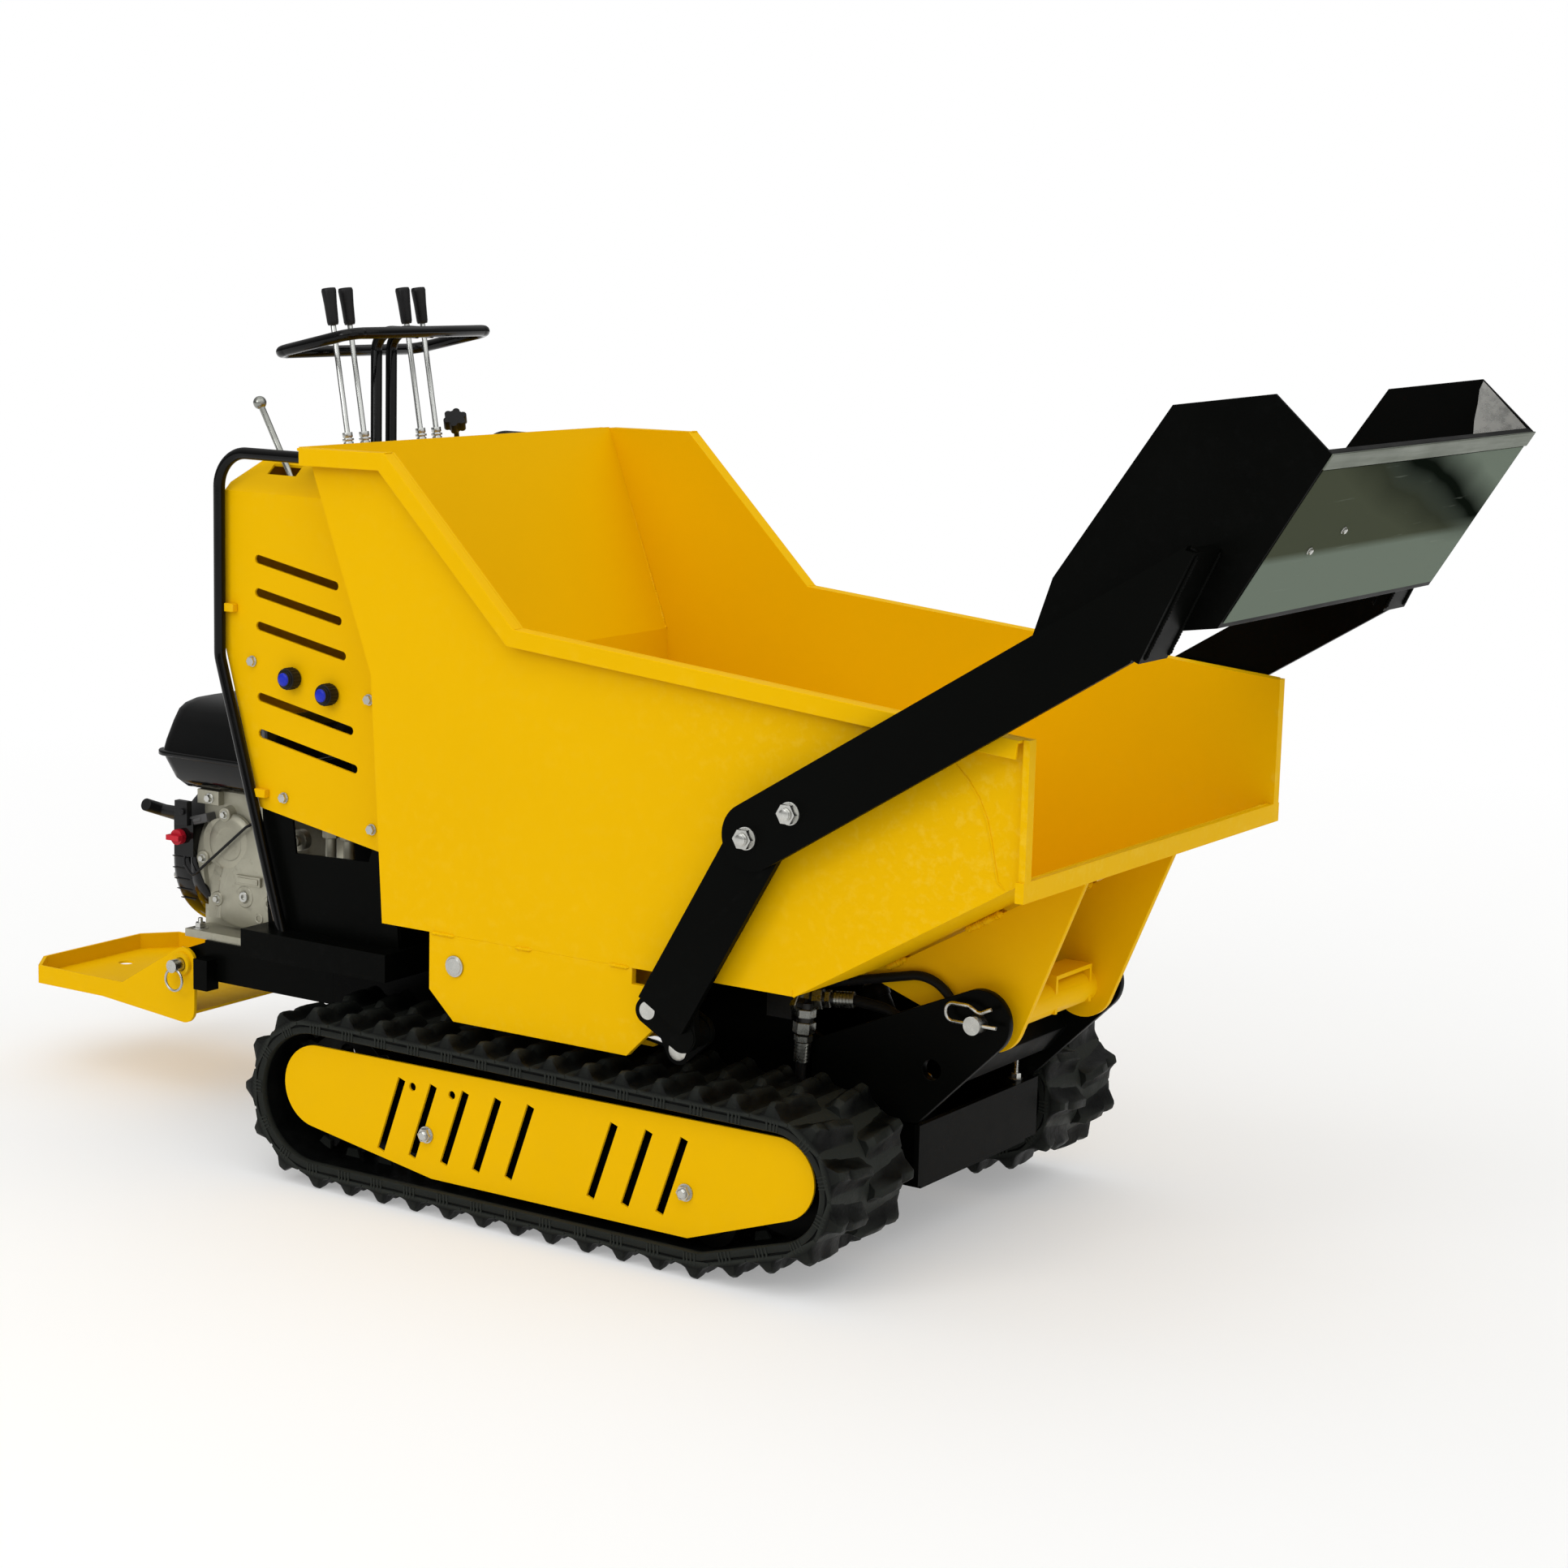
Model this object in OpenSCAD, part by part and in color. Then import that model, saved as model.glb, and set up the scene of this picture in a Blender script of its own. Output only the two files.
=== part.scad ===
// Tracked power carrier with a tipping skip and a self-loading shovel.
// Lengths in mm, X forward, Y to the left, Z up, ground at Z = 0.

/* [Tracks] */
// width of one rubber track
track_width = 180; // [150:5:200]
// distance of each track's centre line from the machine's centre line
track_center_y = 290; // [285:1:300]
// pitch of the tread lugs
lug_pitch = 60; // [50:1:72]
// height of the tread lugs
lug_height = 20; // [14:1:22]
// thickness of the belt under the lugs
belt_thick = 14; // [10:1:16]
// radius over the lugs at the drive sprocket
sprocket_tip_r = 132; // [128:1:134]
// radius over the lugs at the front idler
idler_tip_r = 112; // [108:1:114]
// how far the sprocket axle is behind the track's middle
sprocket_back = 378; // [360:1:390]
// how far the idler axle is ahead of the track's middle
idler_ahead = 400; // [390:1:420]
// height of the idler axle
idler_z = 148; // [146:1:154]
// radius of the bottom rollers
roller_r = 38; // [34:1:40]

/* [Chassis] */
// half the distance over the outer faces of the chassis rails
rail_half = 150; // [146:1:152]
// thickness of rail and arm plates
plate = 8; // [6:1:10]
// height of the upper edge of the chassis rails
rail_top = 305; // [295:1:306]
// height of the lower edge of the chassis rails
rail_bottom = 114; // [110:1:130]
// diameter of the tie-down holes in the pivot arms
tie_hole_d = 28; // [20:1:34]

/* [Skip] */
// half the outside width of the skip
skip_half = 352; // [346:1:356]
// sheet thickness of the skip
skip_sheet = 4; // [3:0.5:5]
// width of the folded rim outside the skip's sides
rim_width = 20; // [14:1:22]
// depth of the folded rim
rim_depth = 24; // [18:1:30]
// height of the skip floor's underside
skip_floor_z = 397; // [396:1:402]
// diameter of the skip's tipping pins
tip_pin_d = 25; // [20:1:28]

/* [Loader] */
// thickness of the arm plates
arm_thick = 10; // [8:1:12]
// width of the lower arm plates
lower_arm_width = 80; // [70:1:90]
// width of the upper arm plates
upper_arm_width = 90; // [80:1:96]
// half the outside width of the shovel
shovel_half = 322; // [310:1:328]
// sheet thickness of the shovel
shovel_sheet = 5; // [4:0.5:6]
// diameter of the loader's pivot pins
lift_pin_d = 25; // [20:1:28]
// bore of the lift cylinders, outside
lift_barrel_d = 46; // [36:1:46]
// diameter of the lift cylinders' rods
lift_rod_d = 24; // [16:1:26]

/* [Hood and controls] */
// half the width of the hood
hood_half = 290; // [280:1:296]
// height of the hood's flat top
hood_top = 1024; // [1010:1:1028]
// diameter of the guard and handle tubes
tube_d = 17; // [14:1:20]
// half the width of the handle loop
loop_half = 160; // [150:1:175]
// diameter of the control lever rods
lever_d = 8; // [6:0.5:9]

/* [Engine and platform] */
// radius of the engine's fan cover
fan_r = 115; // [105:1:118]
// height of the crankshaft
crank_z = 371; // [368:1:374]
// half the width of the operator's platform
step_half = 160; // [156:1:180]
// length of the platform behind its hinge
step_length = 355; // [330:1:380]

/* [Hidden] */
$fn = 48;
yellow = [0.93, 0.68, 0.05];
black = [0.07, 0.07, 0.07];
rubber = [0.12, 0.12, 0.12];
steel = [0.72, 0.73, 0.74];
alloy = [0.66, 0.63, 0.57];
red = [0.75, 0.05, 0.08];
blue = [0.08, 0.2, 0.8];
run = 0.05;

// track loop
s_c = [-sprocket_back, sprocket_tip_r];
i_c = [idler_ahead, idler_z];
wrap = lug_height + belt_thick;
r_c = [idler_ahead - 115, wrap + roller_r + 1];
s_r = sprocket_tip_r - lug_height;
i_r = idler_tip_r - lug_height;
r_r = roller_r + 1 + belt_thick;
track_in = track_center_y - track_width / 2;
track_out = track_center_y + track_width / 2;
frame_in = track_center_y - 62;
frame_out = track_center_y + 62;
cover_y = track_out - 18;

// tipping axis, loader axis and cylinder points, as [x, z]
tip = [577, 352];
lift = [197, 350];
dump_r = 287;
dump_top = tip + dump_r * [cos(178.4), sin(178.4)];
dump_low = tip + dump_r * [cos(236.8), sin(236.8)];
dump_len = norm(dump_top - dump_low);
dump_tilt = atan2(dump_top[1] - dump_low[1], dump_top[0] - dump_low[0]);
lift_base = [-144, 355];
crank = lift + 62 * [cos(-65), sin(-65)];
crank_bar = lift + 62 * [cos(-25), sin(-25)];
lift_len = norm(crank - lift_base);
lift_tilt = atan2(crank[1] - lift_base[1], crank[0] - lift_base[0]);

// skip outline, as [x, z]
rim_rear = [-414, 1050];
rim_b1 = [-259, 1052];
rim_b2 = [-35, 832];
rim_front = [740, 767];
lip_front = [740, 590];
ramp_low = [411, skip_floor_z];
floor_rear = [-275, skip_floor_z];
knuckle = [-297, 745];
ramp_dir = (lip_front - ramp_low) / norm(lip_front - ramp_low);

// loader plates, from the skip's rim outward
rim_out = skip_half + rim_width;
arm_y0 = rim_out + 4;
arm_y1 = arm_y0 + arm_thick;
arm_y2 = arm_y1 + arm_thick;
lower_dir = [cos(60), sin(60)];
upper_dir = [cos(31.8), sin(31.8)];
lower_foot = [225, 350];
arm_joint_a = [361, 604];
arm_joint_b = [426, 644];
dig_angle = 58;

// hood and controls
lever_y = [-102, -65, 65, 102];
lever_foot = [-549, 1012];
lever_lean = 10;
hood_rear = -624;
hinge = [-837, 221];
step_out = step_half;
base_top = 345;
foot_z = crank_z - 109;

// the whole is moved so that the ground point under its middle is the origin
rear_x = hinge[0] - step_length;
dig_lip = [1335, 0] - lift;
lip_x = lift[0] + dig_lip[0] * cos(dig_angle) - dig_lip[1] * sin(dig_angle);
frame_x = -(rear_x + lip_x) / 2;

// helpers

module place(c) translate([frame_x, 0, 0]) color(c) children();

// extrude an outline drawn in X and Z between two Y positions
module slab(y0, y1) translate([0, max(y0, y1), 0]) rotate([90, 0, 0]) linear_extrude(abs(y1 - y0)) children();

module both() {
  children();
  mirror([0, 1, 0]) children();
}

module rod_y(c, r, y0, y1) translate([c[0], max(y0, y1), c[1]]) rotate([90, 0, 0]) cylinder(r = r, h = abs(y1 - y0));

module rod_x(y, z, r, x0, x1) translate([x0, y, z]) rotate([0, 90, 0]) cylinder(r = r, h = x1 - x0);

module box(x0, x1, y0, y1, z0, z1) translate([x0, y0, z0]) cube([x1 - x0, y1 - y0, z1 - z0]);

module bar(p, q, r) {
  v = q - p;
  translate(p) rotate([0, acos(v[2] / norm(v)), atan2(v[1], v[0])]) cylinder(r = r, h = norm(v));
}

module hex_y(c, af, y0, y1) translate([c[0], max(y0, y1), c[1]]) rotate([90, 0, 0])
  linear_extrude(abs(y1 - y0)) polygon([for (a = [0:60:300]) af / sqrt(3) * [cos(a), sin(a)]]);

// outer tangent of two circles [x, z, r], passed anticlockwise
function tang(a, b) =
  let (p = [a[0], a[1]], q = [b[0], b[1]], l = norm(q - p), d = (q - p) / l, s = (a[2] - b[2]) / l,
       n = d * s + [d[1], -d[0]] * sqrt(1 - s * s))
  [p + a[2] * n, q + b[2] * n];

// band round a ring of circles, anticlockwise; its straights lie a hair inside the circles
module loop2d(c) {
  n = len(c);
  b = [for (k = c) [k[0], k[1], max(0, k[2] - 0.05)]];
  polygon([for (i = [0:n - 1]) each tang(b[i], b[(i + 1) % n])]);
  for (k = c) if (k[2] > 0) translate([k[0], k[1]]) circle(r = k[2]);
}

// a slot from p to q
module slot2d(p, q, r) {
  bar2d(p, q, r - 0.03);
  translate(p) circle(r = r, $fn = 24);
  translate(q) circle(r = r, $fn = 24);
}

// a square-ended bar from p to q
module bar2d(p, q, r) {
  d = (q - p) / norm(q - p);
  n = r * [-d[1], d[0]];
  polygon([p + n, p - n, q - n, q + n]);
}

// a round tube along points in a plane, with bends of radius rb that start just inside the straights
module tube2d(pts, r, rb) {
  lap = 0.6;
  n = len(pts);
  ang = [for (i = [0:n - 2]) atan2(pts[i + 1][1] - pts[i][1], pts[i + 1][0] - pts[i][0])];
  turn = [for (i = [0:n - 1]) i == 0 || i == n - 1 ? 0 : ((ang[i] - ang[i - 1] + 540) % 360) - 180];
  cut = [for (t = turn) rb * tan(abs(t) / 2)];
  for (i = [0:n - 2]) {
    d = [cos(ang[i]), sin(ang[i])];
    e0 = i == 0 ? 0 : lap;
    e1 = i == n - 2 ? 0 : lap;
    p = pts[i] + (cut[i] - e0) * d;
    l = norm(pts[i + 1] - pts[i]) - cut[i] - cut[i + 1] + e0 + e1;
    translate(p) rotate([0, 0, ang[i]]) rotate([0, 90, 0]) cylinder(r = r, h = l, $fn = 32);
  }
  for (i = [1:n - 2]) if (abs(turn[i]) > 0.01) {
    sg = sign(turn[i]);
    d = [cos(ang[i - 1]), sin(ang[i - 1])];
    c = pts[i] - cut[i] * d + rb * sg * [-d[1], d[0]];
    a0 = sg > 0 ? ang[i - 1] - 90 : ang[i] + 90;
    translate(c) rotate([0, 0, a0]) rotate_extrude(angle = abs(turn[i]), $fn = 64)
      translate([rb, 0]) circle(r = r - 0.1, $fn = 32);
  }
}

// tube in the X-Z plane at one Y
module tube_xz(pts, y, r, rb) translate([0, y, 0]) rotate([90, 0, 0]) tube2d(pts, r, rb);

// line pts moved sideways to its right by h, with mitred corners
function shift_line(pts, h) =
  let (n = len(pts),
       nn = [for (i = [0:n - 2]) let (v = pts[i + 1] - pts[i]) [v[1], -v[0]] / norm(v)])
  [for (i = [0:n - 1])
    let (a = nn[max(i - 1, 0)], b = nn[min(i, n - 2)]) pts[i] + h * (a + b) / (1 + a * b)];

function rev(l) = [for (i = [len(l) - 1:-1:0]) l[i]];

function turn2(p, a) = [p[0] * cos(a) - p[1] * sin(a), p[0] * sin(a) + p[1] * cos(a)];

// track loop

function loop_c(o) = [[s_c[0], s_c[1], s_r + o], [r_c[0], r_c[1], r_r + o], [i_c[0], i_c[1], i_r + o]];

lc = loop_c(0);
tg = [tang(lc[0], lc[1]), tang(lc[1], lc[2]), tang(lc[2], lc[0])];
function ang_of(v) = atan2(v[1], v[0]);
function sweep(a, b) = (b - a + 720) % 360;
function corner(k) = [lc[k][0], lc[k][1]];
line_l = [for (t = tg) norm(t[1] - t[0])];
line_a = [for (t = tg) ang_of(t[1] - t[0])];
arc_a = [for (k = [0:2]) sweep(line_a[k], line_a[(k + 1) % 3])];
arc_l = [for (k = [0:2]) lc[(k + 1) % 3][2] * arc_a[k] * PI / 180];
part_l = [line_l[0], arc_l[0], line_l[1], arc_l[1], line_l[2], arc_l[2]];
run_l = [for (i = 0, s = 0; i <= 6; s = s + (i < 6 ? part_l[i] : 0), i = i + 1) s];
links = round(run_l[6] / lug_pitch);
pitch = run_l[6] / links;

// point and heading at a length along the loop
function along(s) =
  let (u = s % run_l[6],
       k = [for (i = [0:5]) if (u >= run_l[i] && u < run_l[i + 1]) i][0],
       j = floor(k / 2), e = u - run_l[k])
  k % 2 == 0
    ? [tg[j][0] + e * (tg[j][1] - tg[j][0]) / line_l[j], line_a[j]]
    : let (m = (j + 1) % 3, h = line_a[j] + e / lc[m][2] * 180 / PI)
      [corner(m) + lc[m][2] * [sin(h), -cos(h)], h];

module lugs2d(phase) for (i = [0:links - 1]) {
  w = along((i + phase) * pitch);
  t = [cos(w[1]), sin(w[1])];
  n = [sin(w[1]), -cos(w[1])];
  polygon([for (c = [[-17, -5], [17, -5], [9, lug_height], [-9, lug_height]]) w[0] + c[0] * t + c[1] * n]);
}

module track() {
  slab(track_in, track_out) difference() {
    loop2d(loop_c(0));
    loop2d(loop_c(-belt_thick));
  }
  slab(track_in, track_center_y - 3) lugs2d(0.5);
  slab(track_center_y + 3, track_out) lugs2d(0);
}

module track_left() place(rubber) track();
module track_right() place(rubber) mirror([0, 1, 0]) track();

// drive sprocket with its shaft, idler and bottom roller, for the left side

module sprocket() {
  rt = s_r - belt_thick - 1;
  slab(track_center_y - 14, track_center_y + 14) difference() {
    union() {
      translate(s_c) circle(r = rt - 16);
      for (a = [0:36:324]) translate(s_c) rotate(a)
        polygon([[rt - 24, -15], [rt - 3, -7], [rt - 1, 0], [rt - 3, 7], [rt - 24, 15]]);
    }
    for (a = [18:72:342]) translate(s_c + 52 * [cos(a), sin(a)]) circle(r = 13);
  }
  rod_y(s_c, 34, track_center_y - 30, track_center_y + 30);
  rod_y(s_c, 18, 112, track_center_y + 20);
}

module idler() {
  ri = i_r - belt_thick - 1;
  difference() {
    union() {
      rod_y(i_c, ri, track_center_y - 45, track_center_y - 22);
      rod_y(i_c, ri, track_center_y + 22, track_center_y + 45);
      rod_y(i_c, 30, track_center_y - 50, track_center_y + 50);
    }
    rod_y(i_c, 15 + run, track_center_y - 60, track_center_y + 60);
  }
}

module roller(x) difference() {
  union() {
    rod_y([x, r_c[1]], roller_r, track_center_y - 50, track_center_y - 24);
    rod_y([x, r_c[1]], roller_r, track_center_y + 24, track_center_y + 50);
    rod_y([x, r_c[1]], 22, track_center_y - 54, track_center_y + 54);
  }
  rod_y([x, r_c[1]], 12 + run, track_center_y - 60, track_center_y + 60);
}

module sprocket_left() place(steel) sprocket();
module sprocket_right() place(steel) mirror([0, 1, 0]) sprocket();
module idler_left() place(black) idler();
module idler_right() place(black) mirror([0, 1, 0]) idler();
module roller_left_rear() place(black) roller(-60);
module roller_left_front() place(black) roller(r_c[0]);
module roller_right_rear() place(black) mirror([0, 1, 0]) roller(-60);
module roller_right_front() place(black) mirror([0, 1, 0]) roller(r_c[0]);

module track_frames() place(black) both() {
  side = [[-320, 96], [-120, 58], [300, 58], [424, 126], [424, 170], [-320, 170]];
  slab(frame_in, frame_in + 6) polygon(side);
  slab(frame_out - 6, frame_out) polygon(side);
  box(s_c[0] + s_r, 310, frame_in, frame_out, 162, 170);
  // skid that carries the upper run of the belt
  slab(track_center_y - 12, track_center_y + 12) intersection() {
    loop2d(loop_c(-belt_thick));
    translate([-110, 168]) square([220, 120]);
  }
  rod_y(i_c, 15, frame_in - 4, frame_out + 4);
  for (x = [-60, r_c[0]]) rod_y([x, r_c[1]], 12, frame_in - 4, frame_out + 4);
  for (x = [-190, 190]) rod_y([x, 130], 26, rail_half, frame_in + 3);
}

module side_covers() place(yellow) both() slab(cover_y, cover_y + 4) difference() {
  loop2d([[-382, 146, 60], [-172, 50, 0], [262, 50, 0], [402, 157, 56]]);
  for (x = [-226:56.5:1]) bar2d([x, 184], [x - 38, 75], 6.5);
  for (x = [140:57:260]) bar2d([x, 184], [x - 38, 75], 6.5);
  translate([-207, 176]) circle(r = 6);
  translate([-137, 176]) circle(r = 6);
  for (p = cover_studs) translate(p) circle(r = 6.5);
}

cover_studs = [[-181, 112], [258, 112]];
hood_bolts = [[-571, 731], [-352, 697], [-511, 538], [-346, 512]];

module panel_fasteners() place(steel) both() {
  for (p = cover_studs) {
    rod_y(p, 6.5, frame_out, cover_y + 14);
    rod_y(p, 11, frame_out, cover_y);
    rod_y(p, 12, cover_y + 4, cover_y + 6);
    hex_y(p, 18, cover_y + 6, cover_y + 12);
  }
  for (p = hood_bolts) {
    rod_y(p, 8, hood_half, hood_half + 2);
    hex_y(p, 12, hood_half + 2, hood_half + 7);
  }
}

// chassis

rail2d = [[-540, rail_bottom + 86], [-470, rail_bottom], [484, rail_bottom], [484, 198], [300, rail_top],
          [-540, rail_top]];

module main_frame() place(black) {
  both() {
    difference() {
      union() {
        slab(rail_half - plate, rail_half) polygon(rail2d);
        rod_y(s_c, 40, rail_half - plate, rail_half + 22);
      }
      rod_y(s_c, 18 + run, rail_half - 40, rail_half + 40);
    }
    // hollow bearers under the skip floor
    difference() {
      box(-250, 280, rail_half - 48, rail_half, rail_top, skip_floor_z - 1);
      box(-251, 276, rail_half - 43, rail_half - 5, rail_top - 1, skip_floor_z - 6);
    }
  }
  w = rail_half - plate + 1;
  box(484, 492, -rail_half - 12, rail_half + 12, 114, 198);
  for (x = [-150, 60]) box(x, x + 8, -w, w, rail_bottom + 10, rail_top - 20);
  box(-536, -528, -w, w, rail_bottom + 90, rail_top);
  // belly plate, open round the dump cylinder's lower pin
  difference() {
    box(-150, 485, -w, w, rail_bottom - 8, rail_bottom);
    box(dump_low[0] - 44, dump_low[0] + 44, -26, 26, rail_bottom - 20, rail_bottom + 20);
  }
  both() rod_y(dump_low, 22, 26, 34);
  both() slab(26, 34) polygon([[dump_low[0] - 50, rail_bottom - 8], [dump_low[0] + 50, rail_bottom - 8],
                               dump_low + [14, 18], dump_low + [-14, 18]]);
  rod_y(dump_low, 12, -40, 40);
}

module pivot_arms() place(black) {
  both() difference() {
    slab(rail_half, rail_half + 12) loop2d([[tip[0], tip[1], 44], [330, 280, 12], [330, 206, 8], [484, 206, 6]]);
    rod_y(tip, tip_pin_d / 2, rail_half - 5, rail_half + 20);
    rod_y([507, 277], tie_hole_d / 2, rail_half - 5, rail_half + 20);
  }
  // folded brace from arm to arm
  slab(-rail_half - 1, rail_half + 1) polygon([[512, 244], [540, 280], [524, 312], [518, 309], [532, 280.5], [507, 248]]);
}

module tip_pins() place(steel) both() {
  difference() {
    rod_y(tip, tip_pin_d / 2, 112, rail_half + 34);
    bar([tip[0] - 30, rail_half + 25, tip[1]], [tip[0] + 30, rail_half + 25, tip[1]], 2.6);
  }
  // spring clip through the pin
  translate([0, rail_half + 25, 0]) {
    bar([tip[0] - 20, 0, tip[1]], [tip[0] + 32, 0, tip[1]], 2.6);
    tube_xz([[tip[0] - 20, tip[1]], [tip[0] - 44, tip[1]], [tip[0] - 44, tip[1] + 24], [tip[0] - 10, tip[1] + 24],
             [tip[0] + 6, tip[1] + 15.5], [tip[0] + 24, tip[1] + 24]], 0, 2.6, 11);
  }
}

module engine_base() place(black) {
  difference() {
    box(-560, -288, -hood_half - 40, hood_half + 40, rail_top, base_top);
    box(-554, -294, -hood_half - 34, hood_half + 34, rail_top - 1, base_top - 6);
  }
  both() {
    difference() {
      box(-800, -540, 104, rail_half, 200, foot_z);
      box(-801, -544, 110, rail_half - 6, 206, foot_z - 6);
    }
    difference() {
      slab(step_out - 22, step_out - 12) loop2d([[hinge[0], hinge[1], 22], [-790, 200, 0], [-790, foot_z, 0]]);
      rod_y(hinge, 10, 100, step_out);
    }
    box(-800, -782, 104, step_out - 12, 200, foot_z);
    box(-804, -776, step_out - 14, step_out + 12, 188, 236);
  }
  box(-800, -792, -110, 110, 206, foot_z);
  for (x = [-720, -600]) box(x, x + 8, -110, 110, 206, foot_z);
}

// hood

function hood_side(t) = [[-558 + t, 519], [hood_rear + t, 748], [hood_rear + t, 985 - t], [hood_rear + 38 + t, hood_top - t],
                         [-432 - t, hood_top - t], [-318 - t, 745], [-314 - t, 478]];
function hood_front(t) = [[-hood_half + t, 400], [hood_half - t, 400], [hood_half - t, hood_top - 50], [hood_half - 56, hood_top - t],
                          [-hood_half + 56, hood_top - t], [-hood_half + t, hood_top - 50]];

module hood_solid(t) intersection() {
  slab(-400, 400) polygon(hood_side(t));
  translate([-800, 0, 0]) rotate([90, 0, 90]) linear_extrude(700) polygon(hood_front(t));
}

module hood_shell() place(yellow) {
  hood_sheet();
  // pin of the gear lever
  rod_y(gear_foot, 5, -hood_half + 2, -hood_half + 44);
}

module hood_sheet() difference() {
  hood_solid(0);
  difference() {
    hood_solid(4);
    box(-700, -300, -400, 400, hood_top - 4, hood_top + 10);
  }
  // open foot and open rear below the engine's height
  box(-700, -300, -hood_half + 4, hood_half - 4, 380, 640);
  // louvres
  for (s = [[-560, 879, 144], [-560, 831, 150], [-558, 783, 156], [-556, 680, 168], [-554, 627, 174]])
    slab(-400, 400) slot2d([s[0], s[1]], [s[0] + s[2], s[1] - s[2] * 0.185], 6.5);
  for (p = knob_at) rod_y(p, 12, -400, -hood_half / 2);
  for (y = lever_y) box(-576, -524, y - 9, y + 9, hood_top - 20, hood_top + 20);
  box(gear_foot[0] - 56, gear_foot[0] - 2, -hood_half + 28, -hood_half + 44, hood_top - 60, hood_top + 20);
  for (p = hood_bolts) rod_y(p, 4, -400, 400);
}

knob_at = [[-493, 714], [-423, 698]];
knob_foot = [-558, 156];

module hood_lower_panel() place(black) both() {
  difference() {
    slab(hood_half - 8, hood_half - 4) polygon([[-546, base_top], [-300, base_top], [-318, 560], [-560, 560]]);
    slab(hood_half - 20, hood_half + 4) polygon([[-493, 458], [-356, 463], [-345, 492], [-500, 516]]);
    for (p = hood_bolts) rod_y(p, 4, 0, 400);
  }
  box(-308, -300, hood_half - 60, hood_half - 8, base_top, 470);
}

guard_y = hood_half + tube_d / 2 + 2;

module tube_frame() place(black) both() {
  // the guard's foot is cut level on the engine base
  difference() {
    tube_xz([[-508 + 117 * 20 / (735 - base_top), base_top - 20], [-625, 735], [-625, 1030], [-450, 1030]],
            guard_y, tube_d / 2, 52);
    box(-540, -460, guard_y - tube_d, guard_y + tube_d, base_top - 60, base_top);
  }
  box(-629, -600, hood_half, guard_y, 800, 812);
  box(-576, -540, hood_half, guard_y, 535, 547);
  box(-486, -470, hood_half - 60, guard_y, hood_top, 1030);
}

module handle_loop() place(black) {
  x0 = -645;
  x1 = -498;
  tilt = atan2(34, x1 - x0);
  l = (x1 - x0) / cos(tilt);
  translate([x0, 0, 1166]) rotate([0, -tilt, 0])
    tube2d([[l, 0], [l, loop_half], [0, loop_half], [0, -loop_half], [l, -loop_half], [l, 0]], tube_d / 2, 24);
  both() {
    tube_xz([[-573, hood_top], [-573, 1199], [x1 + 3, 1199]], 17, tube_d / 2, 30);
    rod_z([-573, 17], 16, hood_top, hood_top + 4);
  }
}

module rod_z(p, r, z0, z1) translate([p[0], p[1], z0]) cylinder(r = r, h = z1 - z0);

// control levers, seen along Y, each turning on its own pivot in the valve

module lever_frame(y) translate([lever_foot[0], y, lever_foot[1]]) rotate([0, -lever_lean, 0]) children();

module lever(y) place(steel) lever_frame(y) difference() {
  union() {
    translate([0, 0, -32]) cylinder(d = lever_d, h = 231);
    translate([0, -6, -32]) rotate([-90, 0, 0]) cylinder(r = 9, h = 12);
    translate([0, 0, 20]) cylinder(r = 7.5, h = 7);
    translate([0, 0, 27]) cylinder(r = 6, h = 12);
    translate([0, 0, 29]) cylinder(r = 8.5, h = 3);
    translate([0, 0, 34]) cylinder(r = 7.5, h = 7);
  }
  translate([0, -10, -32]) rotate([-90, 0, 0]) cylinder(r = 4 + run, h = 20);
}

module grip(y) place(black) lever_frame(y) {
  translate([0, 0, 199]) rotate_extrude()
    polygon([[0, 0], [7.5, 0], [8.5, 4], [9.5, 30], [11, 50], [10, 54], [0, 54]]);
}

module lever_1() lever(lever_y[0]);
module lever_2() lever(lever_y[1]);
module lever_3() lever(lever_y[2]);
module lever_4() lever(lever_y[3]);
module grip_1() grip(lever_y[0]);
module grip_2() grip(lever_y[1]);
module grip_3() grip(lever_y[2]);
module grip_4() grip(lever_y[3]);

lever_pivot = lever_foot + 32 * [sin(lever_lean), -cos(lever_lean)];

module control_valve() place(steel) {
  difference() {
    box(hood_rear + 46, -500, -124, 124, lever_pivot[1] - 60, hood_top - 4);
    for (y = lever_y) box(hood_rear + 45, -499, y - 7, y + 7, lever_pivot[1] - 20, hood_top);
  }
  for (y = lever_y) rod_y(lever_pivot, 4, y - 8, y + 8);
}

gear_foot = [-512, 966];
gear_lean = 30;

module gear_lever() place(steel) translate([gear_foot[0], -hood_half + 36, gear_foot[1]]) difference() {
  union() {
    rotate([0, -gear_lean, 0]) cylinder(d = 9, h = 152);
    rotate([0, -gear_lean, 0]) translate([0, 0, 154]) sphere(r = 9.5);
    rotate([90, 0, 0]) translate([0, 0, -6]) cylinder(r = 10, h = 12);
  }
  rotate([90, 0, 0]) translate([0, 0, -10]) cylinder(r = 5 + run, h = 20);
}

module knob(p) {
  rod_y(p, 11.6, hood_half - 6, hood_half + 8);
  rod_y(p, 15, hood_half + 0.5, hood_half + 18);
  rod_y(p, 11, hood_half + 17, hood_half + 22);
}

module flow_knob_rear() place(black) mirror([0, 1, 0]) knob(knob_at[0]);
module flow_knob_front() place(black) mirror([0, 1, 0]) knob(knob_at[1]);

module star_knob() place(black) translate([knob_foot[0], knob_foot[1], hood_top + 5.4]) {
  sphere(r = 5);
  rotate(a = 44, v = [0.839, 0.545, 0]) {
    cylinder(r = 4, h = 45);
    translate([0, 0, 36]) linear_extrude(18) {
      circle(r = 14);
      for (a = [0:60:300]) rotate(a) translate([13, 0]) circle(r = 5.5, $fn = 24);
    }
    translate([0, 0, 26]) cylinder(r1 = 7, r2 = 12, h = 11);
  }
}

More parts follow.
